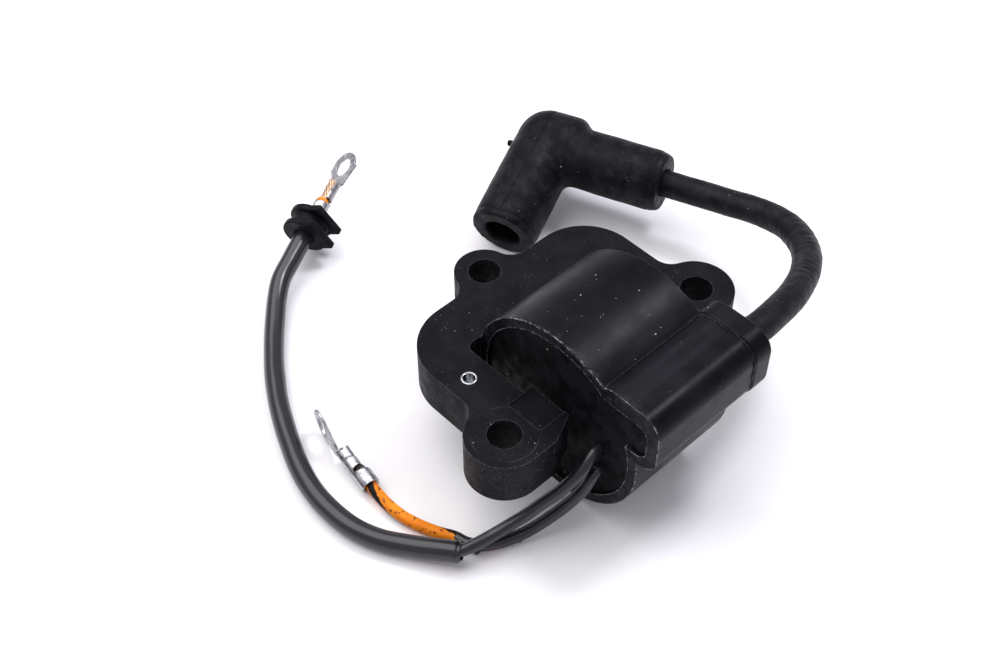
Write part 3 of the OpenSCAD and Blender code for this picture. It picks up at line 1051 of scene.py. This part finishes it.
@dataclass
class PlugLead:
    """High-tension lead from the outlet to the boot."""

    boot_at: Point = (52.9, 63.4, 16.5)
    heading: float = -70.0
    rise: float = 2.0
    diameter: float = 7.3
    lead_leg: float = 35.0
    lead_depth: float = 24.0
    outlet: Point = (20.5, -29.1, 38.0)
    free_route: tuple[Point, ...] = (
        (3, -29.1, 38), (12, -29.1, 38), (20.5, -29.1, 38), (27, -29.6, 37.4), (34, -28.9, 36.2),
        (42, -27.4, 34.4), (49.8, -24.9, 32.2), (57, -21.4, 29.8), (63, -16.9, 27.6), (67.6, -11.3, 25.5),
        (70.4, -5.3, 23.7), (71.3, 0.6, 22.2), (71, 6.7, 20.8), (70.2, 12.7, 19.3))

    def route(self) -> list[np.ndarray]:
        """Points of the whole lead.

        Returns:
            The points, from inside the outlet to inside the boot.
        """
        way = direction(self.heading, self.rise)
        elbow = np.array(self.boot_at)
        inside = [elbow + way * (self.lead_leg + off) for off in (13, 6, -8, -self.lead_depth)]
        return [np.array(p, float) for p in self.free_route] + inside

    def ribs(self, run: np.ndarray, turn: np.ndarray) -> np.ndarray:
        """Wrinkles of the jacket, strongest in the middle of the bend.

        Args:
            run: Millimetres along the lead.
            turn: Angle round it.

        Returns:
            Change of radius in millimetres.
        """
        bend = np.exp(-(((run - 66) / 22) ** 2))
        around = round_tube(run, turn, 1.1, 0.85)
        ripple = np.array([noise.noise(Vector(p)) for p in around])
        fine = np.array([noise.noise(Vector(p) * 2.3 + Vector((9, 4, 2))) for p in around])
        lumps = np.array([noise.noise(Vector((p[0] * 0.8, p[1] * 0.8, p[2] * 0.16))) for p in around])
        return (0.03 + 0.13 * bend) * ripple + 0.04 * fine + 0.09 * lumps

    def build(self) -> bpy.types.Object:
        """Build the lead.

        Returns:
            The lead's piece.
        """
        self.tube = Tube(
            "plug_lead_jacket", self.route(), self.diameter, step=0.45, sides=48, wrinkle=self.ribs)
        return fit_out(self.tube.build(), PLUG_JACKET, replaces=["plug_lead"])

    def declare(self) -> None:
        """Work out the lead's centreline in metres; the result is not used.
        """
        self.tube.path()


@dataclass
class RingTerminal:
    """Crimp terminal drawn along X: insulation band, wire barrel and a flat ring."""

    name: str
    placing: Matrix
    band_x: float
    reach: float
    bend: float
    node: str
    flare: float = 0.0
    sheet: float = 0.7
    band_r: float = 1.85
    band_l: float = 3.9
    barrel_r: float = 1.4
    barrel_gap: float = 2.0
    barrel_l: float = 5.6
    neck_run: float = 0.4
    neck_half: float = 1.35
    ring_r: float = 4.7
    hole_r: float = 2.65
    base_z: float = -1.95

    def stations(self) -> list[tuple[float, float, float]]:
        """Sections of the folded strip.

        Returns:
            Place along X, developed width and bend radius of each, in millimetres.
        """
        band = self.band_x
        gap = band + self.band_l
        barrel = gap + self.barrel_gap
        end = barrel + self.barrel_l
        wrap = 2 * math.pi * self.band_r * 0.93
        fold = 2 * math.pi * self.barrel_r * (0.80 - 0.12 * self.flare)
        return [
            (band, wrap * 0.99, self.band_r), (band + 0.1, wrap, self.band_r),
            (gap - 0.15, wrap, self.band_r), (gap + 0.05, wrap * 0.72, self.band_r),
            (gap + 0.35, 3.0, self.band_r), (gap + 1.0, 2.6, self.band_r),
            (barrel - 0.35, 3.0, self.barrel_r + 0.2), (barrel, fold * 0.9, self.barrel_r),
            (barrel + 0.25, fold, self.barrel_r), (barrel + self.barrel_l / 2, fold, self.barrel_r),
            (end - 0.25, fold, self.barrel_r * (1 + 0.15 * self.flare)),
            (end, fold * 0.88, self.barrel_r * (1 + 0.25 * self.flare)),
            (end + self.neck_run, 3.2, 3.0), (end + 0.9, 2.8, 9.0), (end + 1.4, 3.2, 40.0)]

    def strip(self) -> bpy.types.Object:
        """Folded strip from the band to the start of the ring.

        Returns:
            The strip, as a sheet.
        """
        stations = np.array(self.stations())
        xs = np.unique(np.concatenate([stations[:, 0], np.arange(stations[0, 0], stations[-1, 0], 0.3)]))
        width = np.interp(xs, stations[:, 0], stations[:, 1])
        radius = np.interp(xs, stations[:, 0], stations[:, 2])
        across = 28
        points = []
        for x, w, r in zip(xs, width, radius):
            for s in np.linspace(-0.5, 0.5, across + 1) * w:
                angle = s / r
                dent = 0.12 * jitter(np.array([[x, s, 3.0]]), 0.55)[0]
                height = r * (1 - math.cos(angle)) + dent * abs(angle) / 3
                points.append((x, r * math.sin(angle), self.base_z + height))
        row = across + 1
        faces = [
            (i * row + k, (i + 1) * row + k, (i + 1) * row + k + 1, i * row + k + 1)
            for i in range(len(xs) - 1) for k in range(across)]
        return mesh_object(self.name + "_crimp", np.array(points) * MM, faces)

    def ring(self) -> bpy.types.Object:
        """Teardrop ring with its stud hole, bent up from the strip.

        Returns:
            The ring, as a sheet.
        """
        spokes = 96
        rows = 5
        points = []
        for k in range(spokes):
            angle = 2 * math.pi * k / spokes
            points += [self.rim_point(angle, row / rows) for row in range(rows + 1)]
        faces = []
        for k in range(spokes):
            n = (k + 1) % spokes
            faces += [
                (k * (rows + 1) + r, k * (rows + 1) + r + 1, n * (rows + 1) + r + 1, n * (rows + 1) + r)
                for r in range(rows)]
        obj = mesh_object(self.name + "_ring", np.array(points) * MM, faces)
        start = self.band_x + self.band_l + self.barrel_gap + self.barrel_l + self.neck_run
        hinge = Matrix.Translation(Vector((start, 0, self.base_z)) * MM) @ Matrix.Rotation(
            math.radians(-self.bend), 4, "Y")
        obj.data.transform(hinge)
        return obj

    def rim_point(self, angle: float, share: float) -> Point:
        """Point of the flat ring between the hole and the outer edge.

        Args:
            angle: Direction from the hole's middle.
            share: 0 at the hole and 1 at the outer edge.

        Returns:
            The point in millimetres, X along the terminal.
        """
        c, s = math.cos(angle), math.sin(angle)
        outer = self.ring_r
        if c < 0:
            # Straight flanks that run from the ring to the neck
            lean = math.atan2(self.ring_r - self.neck_half, self.reach)
            flank = self.ring_r / max(1e-6, abs(s) * math.cos(lean) - c * math.sin(lean))
            end = self.reach / max(1e-6, -c)
            outer = max(self.ring_r, min(flank, end))
        reach = self.hole_r + (outer - self.hole_r) * share
        crown = 0.05 * math.sin(math.pi * share)
        return (self.reach + reach * c, reach * s, crown)

    def build(self) -> list[bpy.types.Object]:
        """Both pieces of the terminal.

        Returns:
            The crimp and the ring.
        """
        pieces = []
        for obj, offset in ((self.strip(), -1.0), (self.ring(), 0.0)):
            obj.data.transform(self.placing)
            thicken(obj, self.sheet * (0.7 if offset else 1.0), offset)
            round_edges(obj, 0.12, 40, 2)
            pieces.append(obj)
        fit_out(pieces[0], TINNED)
        fit_out(pieces[1], TINNED, replaces=[self.node])
        return pieces


@dataclass
class StrandBundle:
    """Twisted bare strands that leave the insulation and lie in the wire barrel."""

    name: str
    placing: Matrix
    start: float
    end: float
    radius: float = 0.85
    wire_r: float = 0.17
    bulge_at: float = 0.0
    bulge: float = 0.0

    def build(self, finish: Finish, replaces: Sequence[str] = ()) -> bpy.types.Object:
        """All strands as one mesh.

        Args:
            finish: Their finish.
            replaces: CAD nodes that they stand for.

        Returns:
            The object.
        """
        points, faces = [], []
        sides = 6
        for row, (ring_r, count) in enumerate(((0.0, 1), (0.36, 6), (0.72, 12))):
            for n in range(count):
                self.strand(points, faces, ring_r * self.radius / 0.72, n / count, row, sides)
        obj = mesh_object(self.name, np.array(points) * MM, faces)
        obj.data.transform(self.placing)
        return fit_out(obj, finish, replaces=replaces)

    def strand(self, points: list, faces: list, ring_r: float, share: float, row: int, sides: int) -> None:
        """Add one strand to the lists.

        Args:
            points: Vertices so far.
            faces: Faces so far.
            ring_r: Distance from the bundle's axis.
            share: Its place round the axis, 0 to 1.
            row: Number of its layer.
            sides: Sides of its section.
        """
        wobble = 0.35 * math.sin(17.0 * share + row)
        end = self.end + wobble
        xs = np.linspace(self.start, end, 26)
        base = len(points)
        for i, x in enumerate(xs):
            turn = 2 * math.pi * (share + 0.075 * (x - self.start) * (1 if row < 2 else -1))
            swell = 1 + self.bulge * math.exp(-(((x - self.bulge_at) / 1.0) ** 2))
            splay = 1 + 0.25 * max(0.0, x - self.end + 1.2) * abs(math.sin(9 * share + row))
            r = ring_r * swell * splay
            centre = np.array([x, r * math.cos(turn), r * math.sin(turn)])
            tip = self.wire_r * (0.4 if i in (0, len(xs) - 1) else 1.0)
            for k in range(sides):
                a = 2 * math.pi * k / sides
                points.append(centre + np.array([0, math.cos(a), math.sin(a)]) * tip)
        for i in range(len(xs) - 1):
            for k in range(sides):
                n = (k + 1) % sides
                row0, row1 = base + i * sides, base + (i + 1) * sides
                faces.append((row0 + k, row0 + n, row1 + n, row1 + k))
        faces.append(tuple(base + k for k in range(sides - 1, -1, -1)))
        last = base + (len(xs) - 1) * sides
        faces.append(tuple(last + k for k in range(sides)))


@dataclass
class LongLead:
    """Long low-tension lead: glossy lead, loose sleeve over it, and its ring terminal."""

    diameter: float = 3.0
    sleeve_d: float = 5.2
    sleeve_bore: float = 4.0
    sleeve_end: Point = (-7.4, 92.2, 9.4)
    heading: float = 25.0
    rise: float = 11.5
    exit_at: Point = (-16.0, -21.5, 23.0)
    lead_route: tuple[Point, ...] = (
        (-12, -21.5, 23), (-17, -21.5, 23), (-21, -21.8, 20.6), (-25.5, -20.4, 16.4), (-29.5, -18.2, 12.6),
        (-33, -16.5, 9.7), (-36.6, -14.9, 7.6), (-40.5, -13.5, 6.1), (-44.5, -12.3, 5.4), (-48, -11, 4.9),
        (-50.2, -8.2, 4.3), (-52.6, -4.6, 3.8))
    sleeve_route: tuple[Point, ...] = (
        (-48, -11.4, 4.6), (-50.8, -7.2, 3.9), (-54.9, -1, 3.1), (-58.4, 4.8, 2.7), (-60.6, 10.5, 2.7),
        (-61.5, 17, 2.7), (-61.4, 23, 2.7), (-60.6, 28.5, 2.7), (-59, 34.2, 2.7), (-56.5, 40.6, 2.7),
        (-53.4, 47.4, 2.7), (-50.2, 53.6, 2.7), (-46.6, 59.4, 2.7), (-42.8, 64.8, 2.7), (-38.8, 70, 2.9),
        (-34.5, 75, 3.4), (-30, 79.8, 4.2))

    def soft_dents(self, run: np.ndarray, turn: np.ndarray) -> np.ndarray:
        """Slight unevenness of a soft tube, as a change of radius in millimetres."""
        return 0.07 * jitter(round_tube(run, turn, 0.7, 0.16), 1.0)

    def build(self) -> None:
        """Build the lead, the sleeve and the end."""
        way = direction(self.heading, self.rise)
        end = np.array(self.sleeve_end)
        tail = [end - way * off for off in (20, 14, 7, 0)]
        sleeve = Tube(
            "lead_sleeve_tube", [*self.sleeve_route, *tail], self.sleeve_d, step=0.8, sides=40,
            wrinkle=self.soft_dents, mouth=self.sleeve_bore, mouth_depth=7.0)
        sleeve_obj = fit_out(sleeve.build(), GLOSS_JACKET, replaces=["lead_sleeve"])
        lead = Tube(
            "long_lead_jacket", self.lead_route, self.diameter, step=0.5, sides=28, wrinkle=self.soft_dents)
        lead_obj = fit_out(lead.build(), GLOSS_JACKET, replaces=["long_lead"])
        placing = aimed(self.sleeve_end, self.heading, self.rise, -35)
        stub_route = [(-0.6, 0, 0), (1.5, 0, 0), (3.2, 0, 0), (5.0, 0, 0), (6.9, 0, 0)]
        stub = Tube("terminal_wire_stub", stub_route, 2.95, step=0.4, sides=28, wrinkle=self.stub_swell)
        stub_obj = stub.build()
        stub_obj.data.transform(placing)
        fit_out(stub_obj, ORANGE, replaces=["long_lead_end"])
        terminal = RingTerminal("terminal_a", placing, 1.2, 6.0, 10.0, "ring_terminal_a", flare=1.0).build()
        strands = StrandBundle("terminal_a_strands", placing, 6.6, 13.4).build(STRANDS)

    def stub_swell(self, run: np.ndarray, turn: np.ndarray) -> np.ndarray:
        """Insulation squeezed out before and behind the band.

        Args:
            run: Millimetres along the wire.
            turn: Angle round it; not used.

        Returns:
            Change of radius in millimetres.
        """
        behind = np.exp(-(((run - 6.3) / 0.7) ** 2))
        before = np.exp(-(((run - 1.2) / 0.6) ** 2))
        return 0.42 * behind + 0.28 * before


@dataclass
class ShortLead:
    """Short low-tension lead: torn black sheath, orange wire and its ring terminal."""

    diameter: float = 3.0
    wire_d: float = 2.9
    short_end: Point = (-50.1, 17.7, 2.3)
    heading: float = 82.0
    rise: float = 8.0
    exit_at: Point = (-16.0, -22.6, 17.1)
    tear: tuple[float, float] = (29.0, 38.5)
    tear_turn: float = -0.09
    sheath_route: tuple[Point, ...] = (
        (-12, -22.6, 17.1), (-17, -22.6, 17.1), (-20.5, -22.2, 13.4), (-24.5, -20.6, 9), (-28.2, -18.8, 5.8),
        (-31.8, -17.1, 3.4), (-36, -15.2, 2), (-39.8, -13.2, 1.6), (-42.6, -11.2, 1.6), (-44.3, -8.7, 1.6),
        (-45, -6, 1.6))
    wire_route: tuple[Point, ...] = (
        (-28.2, -18.8, 5.8), (-31.8, -17.1, 3.4), (-36, -15.2, 2), (-39.8, -13.2, 1.6), (-42.6, -11.2, 1.6),
        (-44.3, -8.7, 1.6), (-45, -6, 1.6), (-46.8, -2.7, 1.6), (-48.7, 1.8, 1.6), (-50.1, 7, 1.6),
        (-50.5, 12.4, 1.8), (-50.1, 17.7, 2.3))

    def sheath(self) -> bpy.types.Object:
        """Black sheath with a ragged slit and a ragged end.

        Returns:
            The sheath's piece.
        """
        tube = Tube("short_lead_sheath", self.sheath_route, self.diameter, step=0.3, sides=36)
        self.sheath_tube = tube
        rings = tube.rings()
        count = len(rings)
        spokes = np.linspace(0, 2 * math.pi, tube.sides, endpoint=False)
        reach = np.array([noise.noise(Vector((math.cos(a) * 2.2, math.sin(a) * 2.2, 5))) for a in spokes])
        way = tube.line[-1] - tube.line[-2]
        way /= np.linalg.norm(way)
        frayed = 5
        for back in range(frayed):
            rings[count - 1 - back] += np.outer(reach * (1 - back / frayed) * 2.6, way)
        low, high = self.tear
        middle, half = (low + high) / 2, (high - low) / 2

        def keep(i: int, k: int) -> bool:
            """Whether a quad is outside the slit.

            Args:
                i: Number of its ring.
                k: Its place round the ring.

            Returns:
                True if it stays.
            """
            off = abs(tube.run[i] - middle) / half
            if off >= 1:
                return True
            ragged = 0.25 * noise.noise(Vector((tube.run[i] * 1.3, 1.0 if k < 18 else 7.0, 2.0)))
            wide = 0.16 * math.sqrt(1 - off * off) + 0.5 * ragged * (1 - off)
            turn = abs(((k + 0.5) / tube.sides - self.tear_turn + 0.5) % 1.0 - 0.5) * 2
            return turn > wide

        obj = loft("short_lead_sheath", rings * MM, caps=False, keep=keep)
        thicken(obj, 0.32)
        return fit_out(obj, GLOSS_JACKET, replaces=["short_lead"])

    def tabs(self) -> list[bpy.types.Object]:
        """Small torn flaps that stand off the slit's ends.

        Returns:
            The flaps.
        """
        made = []
        tube = self.sheath_tube
        for number, (run, turn, size) in enumerate(((29.2, -0.05, 1.2), (38.8, 0.03, 1.1))):
            i = int(np.searchsorted(tube.run, run))
            root = tube.ring(i, self.diameter / 2)[round((self.tear_turn + turn) * tube.sides) % tube.sides]
            out = root - tube.line[i]
            out /= np.linalg.norm(out)
            way = tube.line[i + 1] - tube.line[i]
            way /= np.linalg.norm(way)
            side = np.cross(out, way)
            points = []
            for row in range(7):
                u = row / 6
                for col in range(4):
                    v = (col / 3 - 0.5) * 1.5 * (1 - u) ** 0.8
                    raised = out * (u * size - 0.15)
                    points.append(root + raised + way * (v + 0.5 * u) + side * 0.5 * u * u)
            starts = [r * 4 + c for r in range(6) for c in range(3)]
            faces = [(n, n + 1, n + 5, n + 4) for n in starts]
            obj = mesh_object(f"sheath_tab_{number + 1}", np.array(points) * MM, faces)
            thicken(obj, 0.3)
            made.append(fit_out(obj, GLOSS_JACKET))
        return made

    def thin_inside(self, run: np.ndarray, turn: np.ndarray) -> np.ndarray:
        """Change of radius in millimetres, thinner where the wire runs inside the sheath."""
        inside = np.clip((20.5 - run) / 1.5, 0, 1)
        return -0.42 * inside * inside * (3 - 2 * inside)

    def build(self) -> None:
        """Build the sheath, wire and terminal."""
        sheath_obj = self.sheath()
        tabs = self.tabs()
        way = direction(self.heading, self.rise)
        tail = [np.array(self.short_end) + way * off for off in (2.3, 4.6)]
        wire = Tube(
            "short_lead_core", [*self.wire_route, *tail], self.wire_d, step=0.35, sides=32,
            wrinkle=self.thin_inside)
        wire_obj = fit_out(wire.build(), ORANGE_TRACED, replaces=["short_lead_wire"])
        placing = aimed(self.short_end, self.heading, self.rise, 86)
        terminal = RingTerminal("terminal_b", placing, 0.4, 8.0, 6.0, "ring_terminal_b").build()
        strands = StrandBundle(
            "terminal_b_strands", placing, 4.5, 12.2, bulge_at=5.4, bulge=0.55).build(
                SOOTY_STRANDS, ["short_lead_strands"])
        self.sheath_tube.path()


# ---------------------------------------------------------------- boot and grommet


@dataclass
class Boot:
    """Rubber elbow boot: a smoothed copy of the CAD elbow with a parting line and a lip."""

    lead: PlugLead
    roll: float = 15.5
    voxel: float = 0.42
    mouth_y: float = -29.5
    even_rounds: int = 5
    neck_rounds: int = 28
    corner_rounds: int = 60

    def build(self) -> bpy.types.Object:
        """The boot's piece.

        Returns:
            The object.
        """
        obj = copied_node("plug_boot", "boot_elbow")
        remesh = obj.modifiers.new("voxels", "REMESH")
        remesh.mode = "VOXEL"
        remesh.voxel_size = self.voxel * MM
        bake_modifiers(obj)
        placing = aimed(self.lead.boot_at, self.lead.heading, self.lead.rise, self.roll)
        obj.data.transform(placing.inverted())
        count = len(obj.data.vertices)
        co = np.zeros(count * 3)
        obj.data.vertices.foreach_get("co", co)
        co = co.reshape(-1, 3) / MM
        co = self.smoothed(obj, co)
        co = self.detailed(co)
        obj.data.vertices.foreach_set("co", (co * MM).ravel())
        obj.data.transform(placing)
        obj.data.polygons.foreach_set("use_smooth", [True] * len(obj.data.polygons))
        obj.data.update()
        log.info("boot mesh has %d vertices", count)
        skin = replace(BOOT_RUBBER, at=tuple(placing.to_translation()), turn=tuple(placing.to_euler("XYZ")))
        self.nub(placing)
        return fit_out(obj, skin, Body.BOOT, ["plug_boot"])

    def nub(self, placing: Matrix) -> bpy.types.Object:
        """Moulding nub on the outside of the elbow.

        Args:
            placing: Matrix of the boot.

        Returns:
            The nub.
        """
        peg = Tube(
            "boot_nub", [(-7.8, -1.7, 0), (-9.0, -1.7, 0), (-10.1, -1.75, 0.05), (-11.1, -1.9, 0.1)], 1.75,
            step=0.2, sides=20)
        obj = peg.build()
        obj.data.transform(placing)
        return fit_out(obj, RUBBER, Body.BOOT)

    def smoothed(self, obj: bpy.types.Object, co: np.ndarray) -> np.ndarray:
        """Even out the voxel steps, and fill the elbow's inner corner.

        Args:
            obj: The boot.
            co: Its vertices in the boot's frame, in millimetres.

        Returns:
            The moved vertices.
        """
        edges = np.zeros(len(obj.data.edges) * 2, int)
        obj.data.edges.foreach_get("vertices", edges)
        edges = edges.reshape(-1, 2)
        degree = np.bincount(edges.ravel(), minlength=len(co))[:, None]
        corner = np.exp(-(((co[:, 0] - 9) / 5.5) ** 2 + ((co[:, 1] + 8.5) / 5.5) ** 2))
        neck = 0.8 * np.exp(-(((co[:, 0] - 9.5) / 2.6) ** 2))
        outside = np.abs(co[:, 1]) + np.abs(co[:, 2]) > 5.5
        extra = np.where(outside, np.maximum(corner, neck), 0)
        for turn in range(self.corner_rounds):
            total = np.zeros_like(co)
            np.add.at(total, edges[:, 0], co[edges[:, 1]])
            np.add.at(total, edges[:, 1], co[edges[:, 0]])
            if turn < self.even_rounds:
                share = 0.5
            elif turn < self.neck_rounds:
                share = extra[:, None] * 0.6
            else:
                share = corner[:, None] * outside[:, None] * 0.6
            co = co + (total / degree - co) * share
        return co

    def detailed(self, co: np.ndarray) -> np.ndarray:
        """Sink the parting line, cut the lip groove and add slight unevenness.

        Args:
            co: The boot's vertices in the boot's frame, in millimetres.

        Returns:
            The moved vertices.
        """
        x, y, z = co.T
        out = np.zeros_like(co)
        radial = np.hypot(x, z)
        on_leg = (radial > 7.4) & (y < 2)
        out[on_leg] = np.stack([x / radial, 0 * x, z / radial], 1)[on_leg]
        ball = (y >= 2) & (x < 6)
        away = np.sqrt(x**2 + (y - 1.6) ** 2 + z**2)
        out[ball] = np.stack([x / away, (y - 1.6) / away, z / away], 1)[ball]
        wander = 0.15 * np.sin(y * 0.21)
        line = np.exp(-(((x - wander) / 0.32) ** 2)) * (y > self.mouth_y + 2.4)
        flash = 0.24 + 0.10 * jitter(co * MM, 160)
        groove = np.exp(-(((y - self.mouth_y - 2.2) / 0.42) ** 2)) * (radial > 7.4)
        lumps = 0.09 * jitter(co * MM, 110) + 0.05 * jitter(co * MM, 330)
        height = -0.9 * line * flash - 0.30 * groove + lumps * (np.linalg.norm(out, axis=1) > 0)
        lead_leg = (x > 8) & (np.hypot(y, z) > 6)
        side = np.stack([0 * x, y, z], 1) / np.maximum(np.hypot(y, z), 1e-6)[:, None]
        ledge = -0.22 * np.exp(-(((x - 32.6) / 0.45) ** 2))
        return co + out * height[:, None] + side * (lead_leg * (lumps + ledge))[:, None]


@dataclass
class Grommet:
    """Rubber grommet on the sleeve's end."""

    rounding: float = 0.45

    def build(self) -> bpy.types.Object:
        """Build the grommet.

        Returns:
            The grommet's piece.
        """
        obj = copied_node("grommet", "sleeve_grommet")
        round_edges(obj, self.rounding, 35, 3)
        return fit_out(obj, RUBBER, Body.GROMMET, ["grommet"])


# ---------------------------------------------------------------- base and case


@dataclass
class MountingBase:
    """Flange with its three ears, the foot web and the steel eyelet."""

    rounding: float = 0.45

    def build(self) -> None:
        """Build the flange and the eyelet."""
        obj = copied_node("mounting_base", "base_flange")
        round_edges(obj, self.rounding)
        fit_out(obj, FLANGE, replaces=["mounting_base"])
        eyelet = copied_node("locating_eyelet", "base_eyelet")
        round_edges(eyelet, 0.14, 35, 2)
        fit_out(eyelet, STEEL, replaces=["locating_eyelet"])


@dataclass
class CoilCase:
    """Coil case with its outlet block, cap, potting and the rubbed lip of its open end."""

    axis: tuple[float, float] = (-8.1, 24.5)
    radius: float = 25.0
    block_y: tuple[float, float] = (-38.1, -20.1)
    block_z: tuple[float, float] = (29.5, 46.5)
    block_r: float = 5.0
    open_x: float = -16.0
    seam_x: float = 15.0

    def block_outline(self, grow: float, step: float = 0.4) -> np.ndarray:
        """Rounded outline of the block, in the Y and Z plane.

        Args:
            grow: How far it stands outside the block.
            step: Distance between its points.

        Returns:
            Closed outline in millimetres.
        """
        r = self.block_r + grow
        lo = np.array([self.block_y[0], self.block_z[0]]) - grow
        hi = np.array([self.block_y[1], self.block_z[1]]) + grow
        corners = [
            (hi[0] - r, hi[1] - r, 0), (lo[0] + r, hi[1] - r, 90),
            (lo[0] + r, lo[1] + r, 180), (hi[0] - r, lo[1] + r, 270)]
        points = []
        for y, z, start in corners:
            for a in np.radians(np.linspace(start, start + 90, 12)):
                points.append((y + r * math.cos(a), z + r * math.sin(a)))
        points.append(points[0])
        p = np.array(points)
        run = np.concatenate([[0], np.cumsum(np.linalg.norm(np.diff(p, axis=0), axis=1))])
        even = np.linspace(0, run[-1], int(run[-1] / step), endpoint=False)
        return np.stack([np.interp(even, run, p[:, 0]), np.interp(even, run, p[:, 1])], axis=1)

    def seam(self) -> bpy.types.Object:
        """Ragged bead where the cap meets the block.

        Returns:
            The bead.
        """
        outline = self.block_outline(0.08)
        centre = outline.mean(axis=0)
        rings = []
        for n, (y, z) in enumerate(outline):
            before, after = outline[n - 1], outline[(n + 1) % len(outline)]
            out = np.array([after[1] - before[1], before[0] - after[0]])
            out /= np.linalg.norm(out)
            out *= np.sign(out @ (np.array([y, z]) - centre)) or 1.0
            coarse = noise.noise(Vector((y, z, 1)) * 0.55)
            fine = noise.noise(Vector((y, z, 4)) * 2.1)
            size = max(0.04, 0.14 + 0.22 * coarse + 0.12 * fine)
            shift = 0.5 * noise.noise(Vector((y, z, 8)) * 0.4)
            ring = []
            for k in range(8):
                a = 2 * math.pi * k / 8
                off = math.cos(a) * size
                along = self.seam_x - 0.25 + shift + math.sin(a) * size * 1.3
                ring.append((along, y + out[0] * off, z + out[1] * off))
            rings.append(ring)
        rings.append(rings[0])
        obj = loft("outlet_seam", np.array(rings) * MM, caps=False)
        return fit_out(obj, CASE)

    def lip_flash(self) -> bpy.types.Object:
        """Thin rough edge left on the rim of the open end.

        Returns:
            The edge.
        """
        cy, cz = self.axis
        rings = []
        for a in np.radians(np.arange(15, 118.4, 0.6)):
            p = np.array([cy + self.radius * math.cos(a), cz + self.radius * math.sin(a)])
            out = np.array([math.cos(a), math.sin(a)])
            size = 0.16 + 0.20 * max(-0.4, noise.noise(Vector((p[0], p[1], 3)) * 0.8))
            ring = []
            for k in range(6):
                t = 2 * math.pi * k / 6
                rim = p + out * (math.cos(t) * size - 0.12)
                ring.append((self.open_x + 0.1 + math.sin(t) * size * 1.6, rim[0], rim[1]))
            rings.append(ring)
        obj = loft("case_lip_flash", np.array(rings) * MM)
        return fit_out(obj, CASE)

    def build(self) -> None:
        """Build the case, cap, seam, rough edge and potting."""
        case = copied_node("coil_case", "case_shell")
        round_edges(case, 0.5)
        fit_out(case, CASE, replaces=["coil_case"])
        cap = copied_node("outlet_cap", "outlet_cap_moulding")
        round_edges(cap, 0.6)
        fit_out(cap, CASE, replaces=["outlet_cap"])
        self.seam()
        self.lip_flash()
        potting = copied_node("potting_fill", "potting_surface")
        round_edges(potting, 0.25)
        fit_out(potting, POTTING, replaces=["potting_fill"])


@dataclass
class HiddenParts:
    """Parts inside the case and the boot, dressed as they come from the CAD."""

    finishes: dict[str, Finish] = field(default_factory=lambda: {
        "lead_seal": RUBBER,
        "core_laminations": LAMINATION,
        "primary_bobbin": NYLON,
        "primary_winding": WINDING,
        "insulation_wrap": PAPER,
        "secondary_bobbin": NYLON,
        "secondary_winding": WINDING,
        "secondary_tail": WINDING,
        "hv_terminal": BRASS,
        "primary_tags": BRASS,
        "lead_pin": BRASS,
        "boot_contact": STEEL,
    })

    def build(self) -> None:
        """Give each hidden node its material."""
        for name, finish in self.finishes.items():
            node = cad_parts[name]
            node.data.materials.clear()
            node.data.materials.append(finish.material())
            log.info("node %s, finish %s", name, finish.name)


def main() -> None:
    """Build the coil piece by piece."""
    logging.basicConfig(level=logging.INFO, format="%(message)s")
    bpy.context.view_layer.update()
    studio = Studio()
    studio.camera()
    lead = PlugLead()
    lead_obj = lead.build()
    LongLead().build()
    ShortLead().build()
    boot = Boot(lead).build()
    lead.declare()
    Grommet().build()
    MountingBase().build()
    CoilCase().build()
    HiddenParts().build()
    studio.build()


if __name__ == "__main__":
    main()
